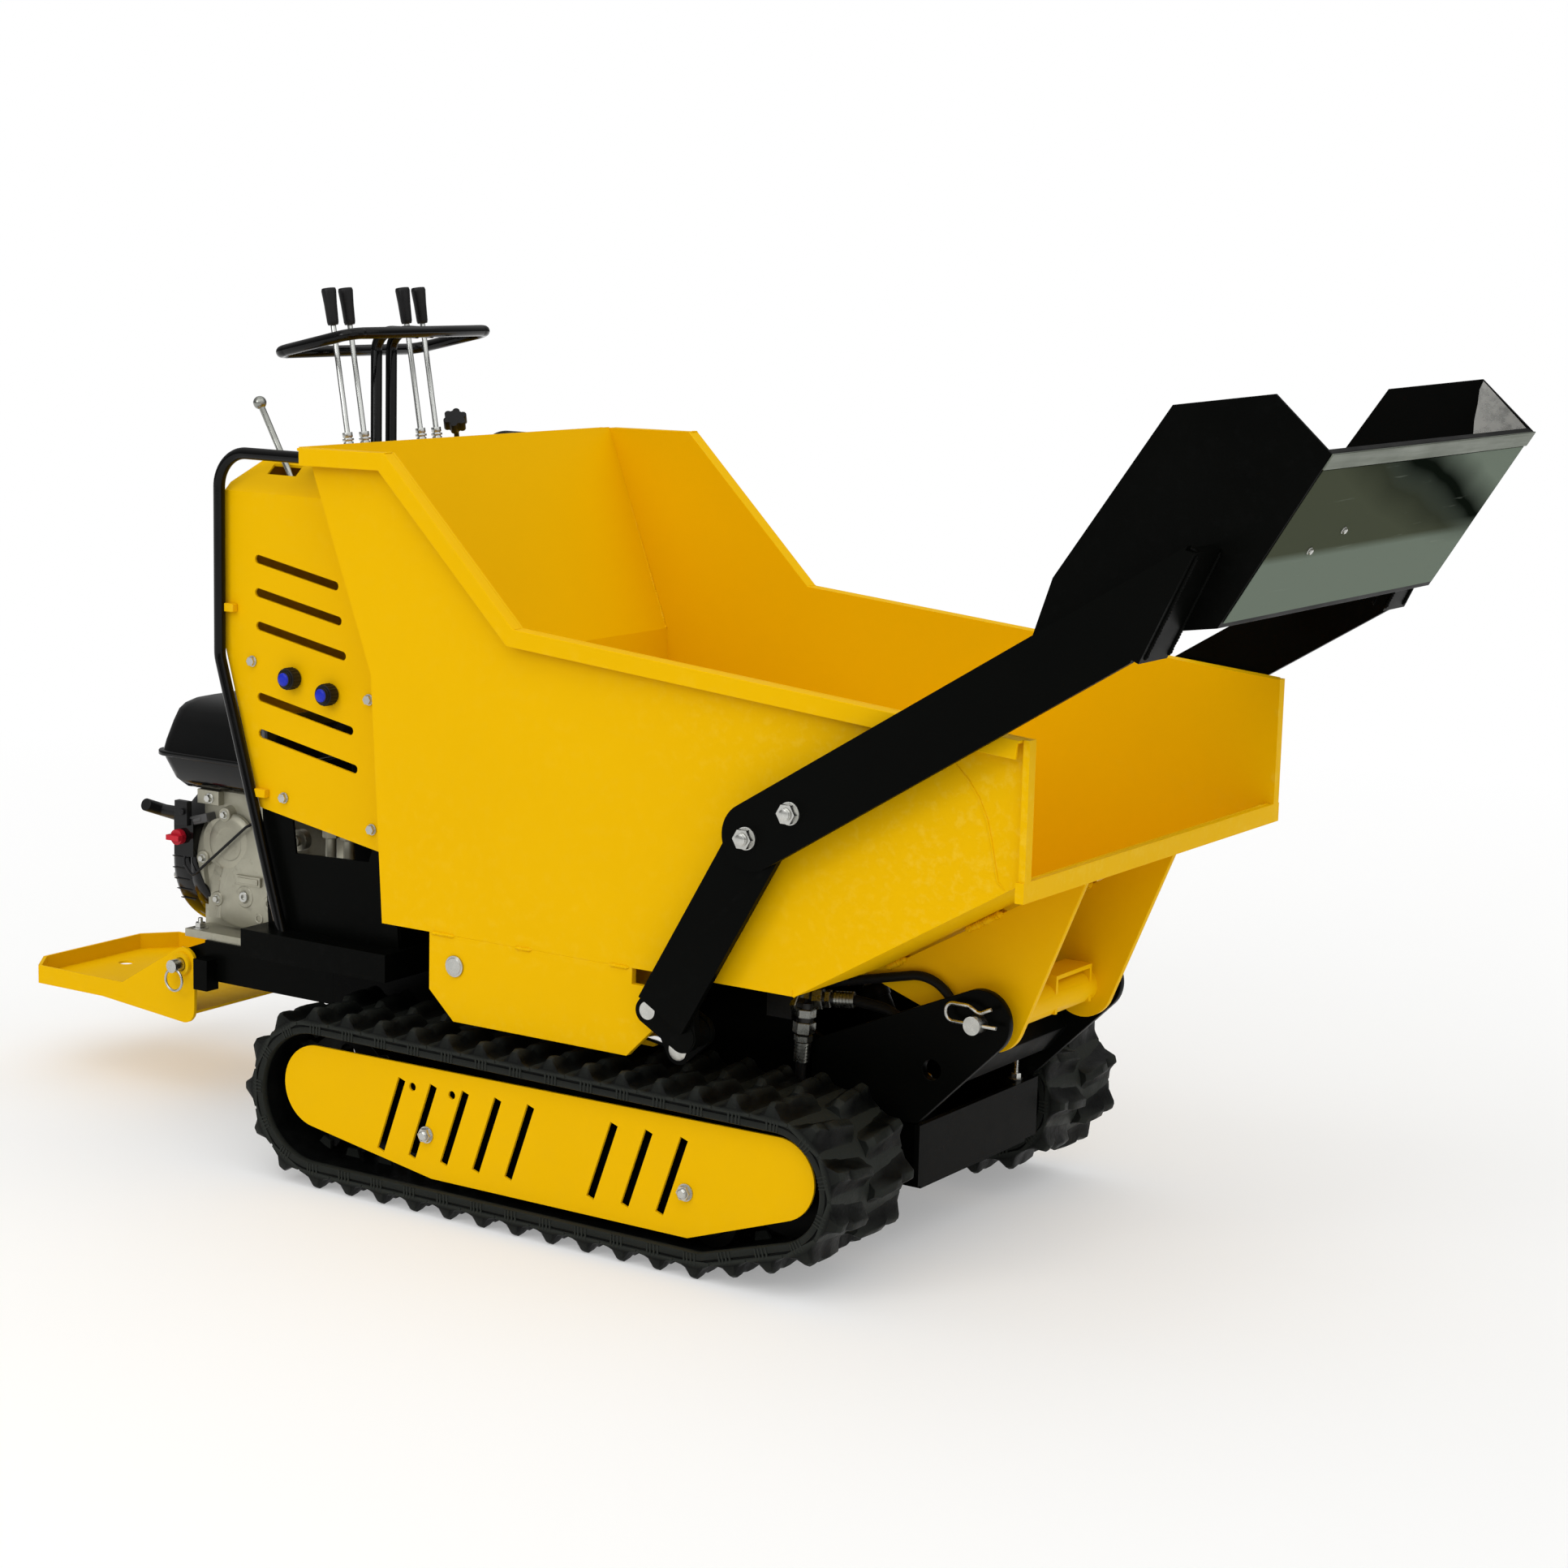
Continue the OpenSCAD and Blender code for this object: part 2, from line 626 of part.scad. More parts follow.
module oil_tank() place(black) {
  difference() {
    box(-470, -350, -190, 190, base_top, 600);
    box(-467, -353, -187, 187, base_top + 3, 597);
  }
  translate([-410, 120, 600]) cylinder(r = 22, h = 24);
}

// power unit

module engine_block() place(alloy) {
  difference() {
    box(-850, -690, -95, 95, foot_z, 470);
    box(-851, -800, -70, 70, foot_z + 14, crank_z + 60);
  }
  box(-845, -695, -rail_half + 4, rail_half - 4, foot_z, foot_z + 12);
  rod_x(0, crank_z, 92, -800, -690);
  rod_x(0, crank_z, 14, -690, -640);
  rod_x(0, crank_z, 60, -640, -606);
  // side cover face with the filler and drain bosses
  box(-835, -705, -104, -90, foot_z + 24, 430);
  rod_y([-760, 326], 13, -110, -100);
  rod_y([-722, 300], 9, -110, -100);
  rod_y([-800, 409], 38, -112, -90);
  // cylinder head on the far side, and the stand under the fuel tank
  box(-840, -700, 90, 170, 330, 470);
  box(-840, -710, -100, -60, 430, 488);
  box(-840, -710, 40, 80, 430, 488);
}

module fan_cover() place(black) difference() {
  union() {
    rod_x(0, crank_z, fan_r, -892, -850);
    translate([-892, 0, crank_z]) rotate([0, -90, 0]) rotate_extrude()
      polygon([[0, 0], [fan_r, 0], [fan_r - 3, 8], [fan_r - 12, 15], [fan_r - 26, 18], [70, 20], [66, 27], [0, 27]]);
    box(-890, -850, -122, -60, crank_z + 10, crank_z + 70);
  }
  // guide of the starter rope
  rod_x(-76, rope_z, 4, -930, -858);
  for (a = [20:20:340]) if (abs(a - 100) > 25) rotate_about_crank(a)
    box(-925, -905, -6, 6, 74, 92);
}

module rotate_about_crank(a) translate([0, 0, crank_z]) rotate([a, 0, 0]) children();

module engine_switch() place(red) translate([-876, -122.4, crank_z + 40]) rotate([90, 0, 0]) {
  cylinder(r = 12, h = 10);
  translate([-13, -4, 9]) cube([26, 8, 10]);
}

rope_z = crank_z + 66;

module recoil_handle() place(black) {
  rod_x(-76, rope_z, 3.5, -936, -862);
  rod_x(-76, rope_z, 9, -960, -920);
  translate([-962, -76, rope_z]) rotate([70, 0, 0]) translate([0, 0, -36]) cylinder(r = 10, h = 72);
}

module fuel_tank() place(black) {
  x0 = -910;
  x1 = -664;
  y = 142;
  // pressed lower and upper halves that taper away from the seam
  intersection() {
    translate([0, 0, 488]) linear_extrude(54) round_rect(x0 + 8, x1 - 8, -y + 8, y - 8, 34);
    slab(-200, 200) polygon([[x0 + 8, 542], [x0 + 14, 510], [x0 + 44, 488], [x1 - 44, 488], [x1 - 14, 510], [x1 - 8, 542]]);
    translate([-950, 0, 0]) rotate([90, 0, 90]) linear_extrude(330)
      polygon([[-y + 8, 542], [-y + 14, 510], [-y + 40, 488], [y - 40, 488], [y - 14, 510], [y - 8, 542]]);
  }
  translate([0, 0, 538]) linear_extrude(9) round_rect(x0, x1, -y, y, 40);
  intersection() {
    translate([0, 0, 545]) linear_extrude(87) round_rect(x0 + 8, x1 - 8, -y + 8, y - 8, 34);
    slab(-200, 200) polygon([[x0 + 8, 545], [x0 + 20, 590], [x0 + 46, 618], [x0 + 96, 632], [x1 - 60, 632], [x1 - 24, 616],
                             [x1 - 8, 545]]);
    translate([-950, 0, 0]) rotate([90, 0, 90]) linear_extrude(330)
      polygon([[-y + 8, 545], [-y + 20, 594], [-y + 44, 620], [-y + 80, 632], [y - 80, 632], [y - 44, 620], [y - 20, 594],
               [y - 8, 545]]);
  }
  translate([-730, 40, 630]) cylinder(r = 20, h = 10);
}

module round_rect(x0, x1, y0, y1, r) {
  translate([x0 + r, y0]) square([x1 - x0 - 2 * r, y1 - y0]);
  translate([x0, y0 + r]) square([x1 - x0, y1 - y0 - 2 * r]);
  for (x = [x0 + r, x1 - r]) for (y = [y0 + r, y1 - r]) translate([x, y]) circle(r = r);
}

module fuel_cap() place(black) translate([-730, 40, 640.4]) {
  cylinder(r = 30, h = 16);
  for (a = [0:30:330]) rotate(a) translate([29, 0, 0]) cylinder(r = 3.5, h = 16, $fn = 20);
}

module muffler() place(steel) {
  box(-840, -720, 170, 250, 380, 470);
  rod_x(210, 440, 13, -722, -690);
}

module air_cleaner() place(black) {
  translate([-640, 130, 400]) cylinder(r = 55, h = 85);
  translate([-640, 130, 484]) cylinder(r = 12, h = 14);
  box(-700, -640, 110, 150, 420, 450);
}

module gearbox() place(alloy) {
  box(-450, -300, -104, 104, 92, 236);
  both() {
    box(-430, -320, 100, rail_half - plate, 180, 190);
    rod_y(s_c, 38, 96, 110);
  }
  rod_x(0, 200, 30, -470, -440);
}

// skip

module skip_side2d() polygon([floor_rear, ramp_low, lip_front, rim_front, rim_b2, rim_b1, rim_rear, knuckle]);

wall_line = [rim_rear, knuckle, floor_rear, ramp_low, lip_front];

module skip_shell() place(yellow) {
  both() slab(skip_half - skip_sheet, skip_half) skip_side2d();
  slab(-skip_half + skip_sheet, skip_half - skip_sheet) polygon(concat(wall_line, rev(shift_line(wall_line, -skip_sheet))));
  // folded front lip, rear edge fold and front posts
  box(rim_front[0] - 6, rim_front[0] + 6, -skip_half - 14, skip_half + 14, 566, lip_front[1] + 2);
  box(rim_rear[0] - 14, rim_rear[0] + 2, -skip_half, skip_half, 1046, 1050);
  both() box(rim_front[0] - 3, rim_front[0] + 6, skip_half - skip_sheet, skip_half + 12, lip_front[1], rim_front[1]);
}

module skip_rim() place(yellow) both() {
  top = [rim_front + [-4, 0], rim_b2, rim_b1, rim_rear];
  fold = [rim_front + [-7, 0], rim_b2, rim_b1, rim_rear + [3, 0]];
  slab(skip_half, rim_out) polygon(concat(top, rev(shift_line(top, -4))));
  slab(rim_out - 4, rim_out) polygon(concat(fold, rev(shift_line(fold, -rim_depth))));
}

module skip_brackets() place(yellow) {
  both() difference() {
    slab(120, 130) {
      loop2d([[tip[0], tip[1], 46], [713, 569 - skip_sheet, 0], [ramp_low[0] + 4, skip_floor_z, 0]]);
      polygon([[340, skip_floor_z], [470, 352], [560, 320], [430, skip_floor_z], [ramp_low[0], skip_floor_z]]);
    }
    rod_y(tip, tip_pin_d / 2 + run, 100, 140);
    slab(100, 140) ramp_above();
  }
  difference() {
    rod_y(tip, 24, -120, 120);
    rod_y(tip, tip_pin_d / 2 + 1, -121, 121);
  }
  // channel over the pivot tube, open below
  difference() {
    box(tip[0] - 20, tip[0] + 22, 4, 106, 334, 387);
    box(tip[0] - 30, tip[0] + 40, 10, 100, 300, 381);
    rod_y(tip, 23, 0, 121);
  }
  // lug for the dump cylinder's rod
  both() slab(24, 32) loop2d([[dump_top[0], dump_top[1], 26], [dump_top[0] + 34, skip_floor_z, 0],
                              [dump_top[0] - 34, skip_floor_z, 0]]);
  rod_y(dump_top, 10, -36, 36);
}

module ramp_above() polygon([ramp_low, lip_front, lip_front + [0, 300], ramp_low + [-300, 300], ramp_low + [-300, 0]]);

skirt2d = [[-190, skip_floor_z], [-190, 316], [-147, 276], [148, 276], [209, 337], [180, 375], [155, 375],
           [155, skip_floor_z]];

module skirt_plates() place(yellow) both() difference() {
  for (y = [skip_half - 10, skip_half - 72]) slab(y, y + 10) polygon(skirt2d);
  rod_y(lift, lift_pin_d / 2, skip_half - 20, skip_half + 5);
  rod_y(lift_base, 12, skip_half - 80, skip_half + 5);
}

module loader_pins() place(steel) both() {
  rod_y(lift, lift_pin_d / 2, skip_half - 22, arm_y0 - 0.5);
  rod_y(lift_base, 12, skip_half - 76, skip_half + 4);
  rod_y(lift_base, 15, skip_half, skip_half + 3);
}

module lower_arm2d() {
  n = lower_arm_width / 2 * [sin(60), -cos(60)];
  far = lower_foot + 292 * lower_dir;
  polygon([lower_foot + n, far + n, far - n, lower_foot - n]);
}

module upper_arm2d() {
  w = upper_arm_width / 2;
  n = w * [-sin(31.8), cos(31.8)];
  mid = arm_joint_a + [6, 2];
  loop2d([[mid[0] - n[0] * 0, mid[1], w * 0.98], [891, 878, 0], [958, 1020, 0]]);
}

module loader_arms() place(black) both() {
  difference() {
    union() {
      slab(arm_y0, arm_y1) lower_arm2d();
      // bracket behind the arm's square foot
      slab(arm_y0 - 12, arm_y0)
        loop2d([[lift[0], lift[1], 18], [crank_bar[0], crank_bar[1], 22], [lower_foot[0] + 20, lower_foot[1] + 60, 20]]);
      slab(arm_y1, arm_y2) upper_arm2d();
      rod_y(lift, 18, skip_half + 1, arm_y0 - 1);
      rod_y(crank_bar, 20, skip_half - 16, arm_y0 + 1);
      slab(skip_half - 22, skip_half - 12)
        loop2d([[lift[0], lift[1], 22], [crank[0], crank[1], 20], [crank_bar[0], crank_bar[1], 22]]);
    }
    rod_y(lift, lift_pin_d / 2 + run, skip_half - 80, arm_y0);
    for (p = [arm_joint_a, arm_joint_b]) rod_y(p, 8, arm_y0 - 5, arm_y2 + 5);
    rod_y(crank, 10, skip_half - 30, skip_half);
  }
  // cross web that joins the arm's end to the shovel's side
  slab(shovel_half, arm_y2) polygon([[888, 884], [902, 878], [966, 1012], [952, 1016]]);
}

module arm_bolts() place(steel) both() {
  for (p = [arm_joint_a, arm_joint_b]) {
    rod_y(p, 8, arm_y0 - 12, arm_y2 + 16);
    rod_y(p, 15, arm_y2, arm_y2 + 3);
    hex_y(p, 24, arm_y2 + 3, arm_y2 + 12);
    rod_y(p, 11, arm_y0 - 3, arm_y0);
  }
  rod_y(crank, 10, skip_half - 24, skip_half - 11);
  rod_y(crank, 14, skip_half - 12, skip_half - 10.6);
}

// shovel, drawn lying on the ground and turned up about the loader's axis

module raised() translate([lift[0], 0, lift[1]]) rotate([0, -dig_angle, 0]) translate([-lift[0], 0, -lift[1]]) children();

heel = [1086, 0];
lip = [1335, 0];
brow = [1351, 96];
crown = [1266, 196];
back = [1005, 209];
rear = [924, 190];

module bucket() place(black) raised() {
  both() slab(shovel_half - shovel_sheet, shovel_half) polygon([heel, lip, brow, crown, back, rear]);
  slab(-shovel_half + shovel_sheet, shovel_half - shovel_sheet) {
    line = [lip, heel, rear];
    polygon(concat(line, rev(shift_line(line, shovel_sheet))));
  }
  box(lip[0] - 60, lip[0], -shovel_half, shovel_half, 0, 9);
}

// cylinders

module lift_axis(y) translate([lift_base[0], y, lift_base[1]]) rotate([0, -lift_tilt, 0]) children();

lift_y = skip_half - 36;

module lift_barrels() place(black) both() lift_axis(lift_y) difference() {
  union() {
    rotate([90, 0, 0]) translate([0, 0, -12]) cylinder(r = 22, h = 24);
    translate([14, 0, 0]) rotate([0, 90, 0]) cylinder(d = lift_barrel_d, h = 226);
    translate([236, 0, 0]) rotate([0, 90, 0]) cylinder(d = lift_barrel_d + 4, h = 22);
  }
  rotate([90, 0, 0]) translate([0, 0, -20]) cylinder(r = 12 + run, h = 40);
  translate([40, 0, 0]) rotate([0, 90, 0]) cylinder(d = lift_barrel_d - 10, h = 196);
  translate([230, 0, 0]) rotate([0, 90, 0]) cylinder(d = lift_rod_d + 2 * run, h = 40);
}

module lift_rods() place(steel) both() lift_axis(lift_y) difference() {
  union() {
    translate([150, 0, 0]) rotate([0, 90, 0]) cylinder(d = lift_rod_d, h = lift_len - 150 - 8);
    translate([150, 0, 0]) rotate([0, 90, 0]) cylinder(d = lift_barrel_d - 12, h = 16);
    translate([lift_len, 0, 0]) rotate([90, 0, 0]) translate([0, 0, -11]) cylinder(r = 15.5, h = 22);
  }
  translate([lift_len, 0, 0]) rotate([90, 0, 0]) translate([0, 0, -20]) cylinder(r = 10, h = 40);
}

module dump_axis() translate([dump_low[0], 0, dump_low[1]]) rotate([0, -dump_tilt, 0]) children();

module dump_barrel() place(black) dump_axis() difference() {
  union() {
    rotate([90, 0, 0]) translate([0, 0, -20]) cylinder(r = 22, h = 40);
    translate([12, 0, 0]) rotate([0, 90, 0]) cylinder(r = 25, h = 224);
    translate([226, 0, 0]) rotate([0, 90, 0]) cylinder(r = 27, h = 20);
  }
  rotate([90, 0, 0]) translate([0, 0, -30]) cylinder(r = 12 + run, h = 60);
  translate([30, 0, 0]) rotate([0, 90, 0]) cylinder(r = 20, h = 200);
  translate([220, 0, 0]) rotate([0, 90, 0]) cylinder(r = 14 + run, h = 40);
}

module dump_rod() place(steel) dump_axis() difference() {
  union() {
    translate([32, 0, 0]) rotate([0, 90, 0]) cylinder(r = 14, h = dump_len - 32 - 20);
    translate([32, 0, 0]) rotate([0, 90, 0]) cylinder(r = 19, h = 8);
    translate([0, 20, 0]) rotate([90, 0, 0]) linear_extrude(40) slot2d([dump_len - 12, 0], [dump_len + 10, 0], 19);
  }
  // the eye is a slot, because the rod follows the skip at a steady rate
  translate([0, 30, 0]) rotate([90, 0, 0]) linear_extrude(60) slot2d([dump_len - 10, 0], [dump_len + 10, 0], 10.4);
}

// hoses on the chassis

hose_y = -rail_half - 26;
hose_in = -rail_half + 11;

module hoses() place(rubber) {
  tube_xz([[292, 356], [505, 404], [536, 338.4]], hose_in, 6.5, 60);
  tube_xz([[312, 262], [306, 158], [412, 150]], hose_y, 7.5, 60);
  tube_xz([[372, 346], [452, 340], [475, 262]], hose_in, 7.5, 60);
}

module hose_fittings() place(steel) {
  // elbow on a block at the bearer's side, straight couplings, and banjo ends on the arm and the rail
  box(262, 302, hose_y - 12, -rail_half, 318, 352);
  translate([0, hose_y, 0]) {
    bar([290, 0, 338], [318, 0, 338], 9);
    bar([317.6, 0, 342], [312.02, 0, 262.3], 9);
    bar([316.4, 0, 326], [314.6, 0, 300], 12);
  }
  bar([296, hose_y + 14, 343], [368.6, hose_in, 346], 9);
  bar([282.7, hose_in, 353.9], [291.7, hose_in, 355.93], 9);
  bar([540, hose_in + 8, 330], [540, -rail_half, 330], 9);
  bar([477.6, hose_in + 9, 253.1], [477.6, -rail_half, 253.1], 9);
  bar([420.3, hose_y - 9, 149.4], [420.3, -rail_half, 149.4], 8);
}

// operator's platform

module platform() place(yellow) {
  x0 = hinge[0] - step_length;
  x1 = -812;
  z0 = 143;
  difference() {
    translate([0, 0, z0]) linear_extrude(29) step2d(0);
    translate([0, 0, z0 + 4]) linear_extrude(40) step2d(4);
    for (p = [[-1128, -113], [-1030, -112], [-1134, 18], [-1036, 18]])
      translate([p[0], p[1], z0 - 1]) cylinder(r = 13, h = 10);
    box(-880, -700, -step_half + 30, step_half - 30, z0 + 3.9, 200);
  }
  both() difference() {
    slab(step_half - 6, step_half) loop2d([[x1 - 24, 150, 22], [x1 - 24, hinge[1] + 2, 24], [-1010, 146, 0], [-1010, z0, 0]]);
    rod_y(hinge, 10 + run, 100, 300);
  }
}

module step2d(t) polygon([
  [hinge[0] - step_length + t, -step_half + 50 + t], [hinge[0] - step_length + 40 + t, -step_half + t],
  [-818, -step_half + t], [-818, step_half - t],
  [hinge[0] - step_length + 40 + t, step_half - t], [hinge[0] - step_length + t, step_half - 50 - t]]);

module platform_pins() place(steel) both() {
  rod_y(hinge, 10, step_out - 30, step_out + 26);
  // linch ring through the pin's end
  translate([hinge[0], step_out + 20, hinge[1] - 22]) rotate([90, 0, 0]) rotate_extrude() translate([17, 0]) circle(r = 2, $fn = 20);
}

main_frame();
pivot_arms();
engine_base();
track_frames();
side_covers();
panel_fasteners();
track_right();
track_left();
sprocket_right();
sprocket_left();
idler_right();
idler_left();
roller_right_rear();
roller_right_front();
roller_left_rear();
roller_left_front();
hood_shell();
hood_lower_panel();
tube_frame();
handle_loop();
engine_block();
fan_cover();
fuel_tank();
fuel_cap();
muffler();
air_cleaner();
recoil_handle();
engine_switch();
gearbox();
oil_tank();
control_valve();
lever_1();
lever_2();
lever_3();
lever_4();
grip_1();
grip_2();
grip_3();
grip_4();
gear_lever();
flow_knob_rear();
flow_knob_front();
star_knob();
dump_barrel();
dump_rod();
skip_shell();
skip_rim();
skip_brackets();
skirt_plates();
loader_pins();
loader_arms();
arm_bolts();
bucket();
lift_barrels();
lift_rods();
tip_pins();
hoses();
hose_fittings();
platform();
platform_pins();
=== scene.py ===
import math

import bmesh
import bpy
from mathutils import Matrix, Vector


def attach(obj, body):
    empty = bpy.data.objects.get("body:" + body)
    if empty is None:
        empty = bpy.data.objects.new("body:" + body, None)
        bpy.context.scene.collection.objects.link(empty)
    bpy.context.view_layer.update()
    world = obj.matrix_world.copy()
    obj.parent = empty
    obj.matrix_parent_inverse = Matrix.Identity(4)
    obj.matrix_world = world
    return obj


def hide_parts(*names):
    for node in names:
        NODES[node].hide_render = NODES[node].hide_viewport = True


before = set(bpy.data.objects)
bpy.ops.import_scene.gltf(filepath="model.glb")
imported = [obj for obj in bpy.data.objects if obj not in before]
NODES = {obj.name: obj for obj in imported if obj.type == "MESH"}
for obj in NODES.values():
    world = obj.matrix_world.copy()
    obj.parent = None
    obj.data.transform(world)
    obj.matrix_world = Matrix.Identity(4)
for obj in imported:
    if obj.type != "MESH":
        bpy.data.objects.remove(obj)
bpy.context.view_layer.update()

MM = 1000  # mm in a metre
SHIFT_X = 0.047565  # metres from the source's own x to the row's x
SIDES = (-1, 1)  # right and left, as the sign of y
X_AXIS, Z_AXIS = (1, 0, 0), (0, 0, 1)
NEAR = (0, -1, 0)  # out of the machine's right side, which the photo shows
BACK = (-1, 0, 0)


def P(x, y, z):
    """A point of the source, in mm, as a row point in metres."""
    return Vector((x / MM + SHIFT_X, y / MM, z / MM))


def link(o):
    bpy.context.scene.collection.objects.link(o)
    return o


# camera, fitted to the photograph

PHOTO_PX, FOCAL_PX = 1932, 3976.37
SENSOR = 36
CAMERA_AT = (2586.01, -3733.96, 1373.66)
AZIMUTH, ELEVATION, ROLL = 33.03, 9.88, 1.46


def make_camera():
    az, el, roll = (math.radians(a) for a in (AZIMUTH, ELEVATION, ROLL))
    back = Vector((math.sin(az) * math.cos(el), -math.cos(az) * math.cos(el), math.sin(el)))
    level = Vector((math.cos(az), math.sin(az), 0))
    rise = back.cross(level)
    right = level * math.cos(roll) + rise * math.sin(roll)
    up = rise * math.cos(roll) - level * math.sin(roll)
    cam = bpy.data.cameras.new("photo_camera")
    cam.sensor_width = SENSOR
    cam.lens = FOCAL_PX / PHOTO_PX * SENSOR
    cam.clip_end = 100
    ob = link(bpy.data.objects.new("photo_camera", cam))
    m = Matrix((right, up, back)).transposed().to_4x4()
    m.translation = P(*CAMERA_AT)
    ob.matrix_world = m
    bpy.context.scene.camera = ob


make_camera()

# materials

MIX_FACTOR, MIX_A, MIX_B, MIX_RESULT = 0, 6, 7, 2  # sockets of a colour mix
DUST = (0.16, 0.13, 0.09)
DUST_TOP = 0.5  # metres over the ground


class Tree:
    """A material's nodes, put together from noises, ramps and mixes."""

    def __init__(self, name):
        self.m = bpy.data.materials.new(name)
        self.m.use_nodes = True
        self.t = self.m.node_tree
        self.b = self.t.nodes["Principled BSDF"]
        self.coord = self.new("ShaderNodeTexCoord")
        self.pos = self.coord.outputs["Object"]

    def new(self, kind, **settings):
        n = self.t.nodes.new(kind)
        for k, v in settings.items():
            setattr(n, k, v)
        return n

    def put(self, socket, value):
        """Set a number or a colour on a socket, or link a node's output to it."""
        if isinstance(value, (int, float)):
            socket.default_value = value
        elif isinstance(value, tuple):
            socket.default_value = (*value, 1)
        else:
            self.t.links.new(value, socket)

    def noise(self, scale, detail=4, rough=0.55, stretch=None):
        n = self.new("ShaderNodeTexNoise")
        for name, v in (("Scale", scale), ("Detail", detail), ("Roughness", rough)):
            self.put(n.inputs[name], v)
        src = self.pos
        if stretch:
            mapping = self.new("ShaderNodeMapping")
            mapping.inputs["Scale"].default_value = stretch
            self.put(mapping.inputs["Vector"], src)
            src = mapping.outputs["Vector"]
        self.put(n.inputs["Vector"], src)
        return n.outputs["Fac"]

    def ramp(self, fac, lo, hi, a=0.0, b=1.0):
        """Map lo to hi onto a to b, and hold the ends."""
        n = self.new("ShaderNodeMapRange")
        ends = (("From Min", lo), ("From Max", hi), ("To Min", a), ("To Max", b))
        for name, v in (("Value", fac), *ends):
            self.put(n.inputs[name], v)
        return n.outputs["Result"]

    def math(self, op, a, b):
        n = self.new("ShaderNodeMath", operation=op)
        self.put(n.inputs[0], a)
        self.put(n.inputs[1], b)
        return n.outputs[0]

    def times(self, a, b):
        return self.math("MULTIPLY", a, b)

    def plus(self, a, b):
        return self.math("ADD", a, b)

    def mix(self, fac, a, b):
        n = self.new("ShaderNodeMix", data_type="RGBA")
        for i, v in ((MIX_FACTOR, fac), (MIX_A, a), (MIX_B, b)):
            self.put(n.inputs[i], v)
        return n.outputs[MIX_RESULT]

    def split(self, vector):
        n = self.new("ShaderNodeSeparateXYZ")
        self.put(n.inputs[0], vector)
        return n.outputs

    def edge(self, lo=0.52, hi=0.6):
        """Rises on sharp outward edges."""
        g = self.new("ShaderNodeNewGeometry")
        return self.ramp(g.outputs["Pointiness"], lo, hi)

    def low(self, top):
        """Falls from 1 at the ground to 0 at a height."""
        return self.ramp(self.split(self.pos)["Z"], 0.0, top, 1, 0)

    def bump(self, h, strength, dist):
        n = self.new("ShaderNodeBump")
        for name, v in (("Strength", strength), ("Distance", dist), ("Height", h)):
            self.put(n.inputs[name], v)
        self.put(self.b.inputs["Normal"], n.outputs["Normal"])

    def out(self, color, rough, metallic=0.0, spec=0.5):
        ends = (("Base Color", color), ("Roughness", rough), ("Metallic", metallic))
        for name, v in (*ends, ("Specular IOR Level", spec)):
            self.put(self.b.inputs[name], v)
        return self.m


def paint(name, base, shade, edge_tone, rough, dust, spec):
    """Sprayed paint in two close tones, with dust near the ground and scuffed edges."""
    t = Tree(name)
    col = t.mix(t.ramp(t.noise(3.5, 3), 0.3, 0.7), base, shade)
    dirt = t.times(t.ramp(t.noise(26, 6, 0.65), 0.45, 0.75), t.low(DUST_TOP))
    dirt = t.times(dirt, dust)
    col = t.mix(dirt, col, DUST)
    scuff = t.times(t.edge(), t.ramp(t.noise(60, 5, 0.7), 0.5, 0.66))
    col = t.mix(t.times(scuff, 0.5), col, edge_tone)
    r = t.ramp(t.noise(14, 4), 0.3, 0.75, rough - 0.06, rough + 0.1)
    r = t.plus(r, t.times(dirt, 0.4))
    t.bump(t.noise(420, 2, 0.5), 0.12, 0.0006)
    return t.out(col, r, spec=spec)


def rubber(name, base, dusty, edge_tone, rough, grain):
    """Rubber with dusty patches, and paler edges that are partly dust and partly a painted
    highlight.
    """
    t = Tree(name)
    col = t.mix(t.times(t.ramp(t.noise(22, 7, 0.7), 0.42, 0.7), 0.55), base, dusty)
    # paler convex edges: partly dust, partly a painted highlight
    col = t.mix(t.times(t.edge(0.505, 0.56), 0.7), col, edge_tone)
    r = t.ramp(t.noise(40, 5), 0.3, 0.7, rough - 0.1, rough + 0.12)
    t.bump(t.plus(t.noise(grain, 4, 0.6), t.times(t.noise(60, 3), 0.7)), 0.35, 0.0012)
    return t.out(col, r, spec=0.07)


def metal(name, base, dark, rough, brush=None, bump=0.1):
    """Bare metal; brush stretches its marks."""
    t = Tree(name)
    marks = t.noise(90, 4, 0.6, brush or (1, 1, 1))
    col = t.mix(t.ramp(t.noise(9, 4), 0.3, 0.72), base, dark)
    col = t.mix(t.times(t.ramp(marks, 0.4, 0.7), 0.35), col, dark)
    r = t.ramp(marks, 0.3, 0.7, rough - 0.08, rough + 0.12)
    t.bump(marks, bump, 0.0003)
    return t.out(col, r, 1.0)


def cast(name, base, dark, rough, metallic):
    """A grainy, stained casting."""
    t = Tree(name)
    col = t.mix(t.ramp(t.noise(8, 5), 0.35, 0.7), base, dark)
    stain = t.times(t.ramp(t.noise(30, 6, 0.7), 0.55, 0.75), 0.6)
    col = t.mix(stain, col, tuple(c * 0.35 for c in dark))
    r = t.ramp(t.noise(25, 4), 0.3, 0.7, rough - 0.08, rough + 0.1)
    t.bump(t.noise(900, 3, 0.7), 0.3, 0.0006)
    return t.out(col, r, metallic)


def plastic(name, base, light, rough, grain=700, bump=0.2, spec=0.2):
    """Moulded plastic with a fine grain and lighter edges."""
    t = Tree(name)
    col = t.mix(t.ramp(t.noise(12, 4), 0.35, 0.7), base, light)
    col = t.mix(t.times(t.edge(), 0.3), col, tuple(c * 1.6 for c in light))
    r = t.ramp(t.noise(30, 4), 0.3, 0.7, rough - 0.06, rough + 0.1)
    t.bump(t.noise(grain, 3, 0.6), bump, 0.0004)
    return t.out(col, r, spec=spec)


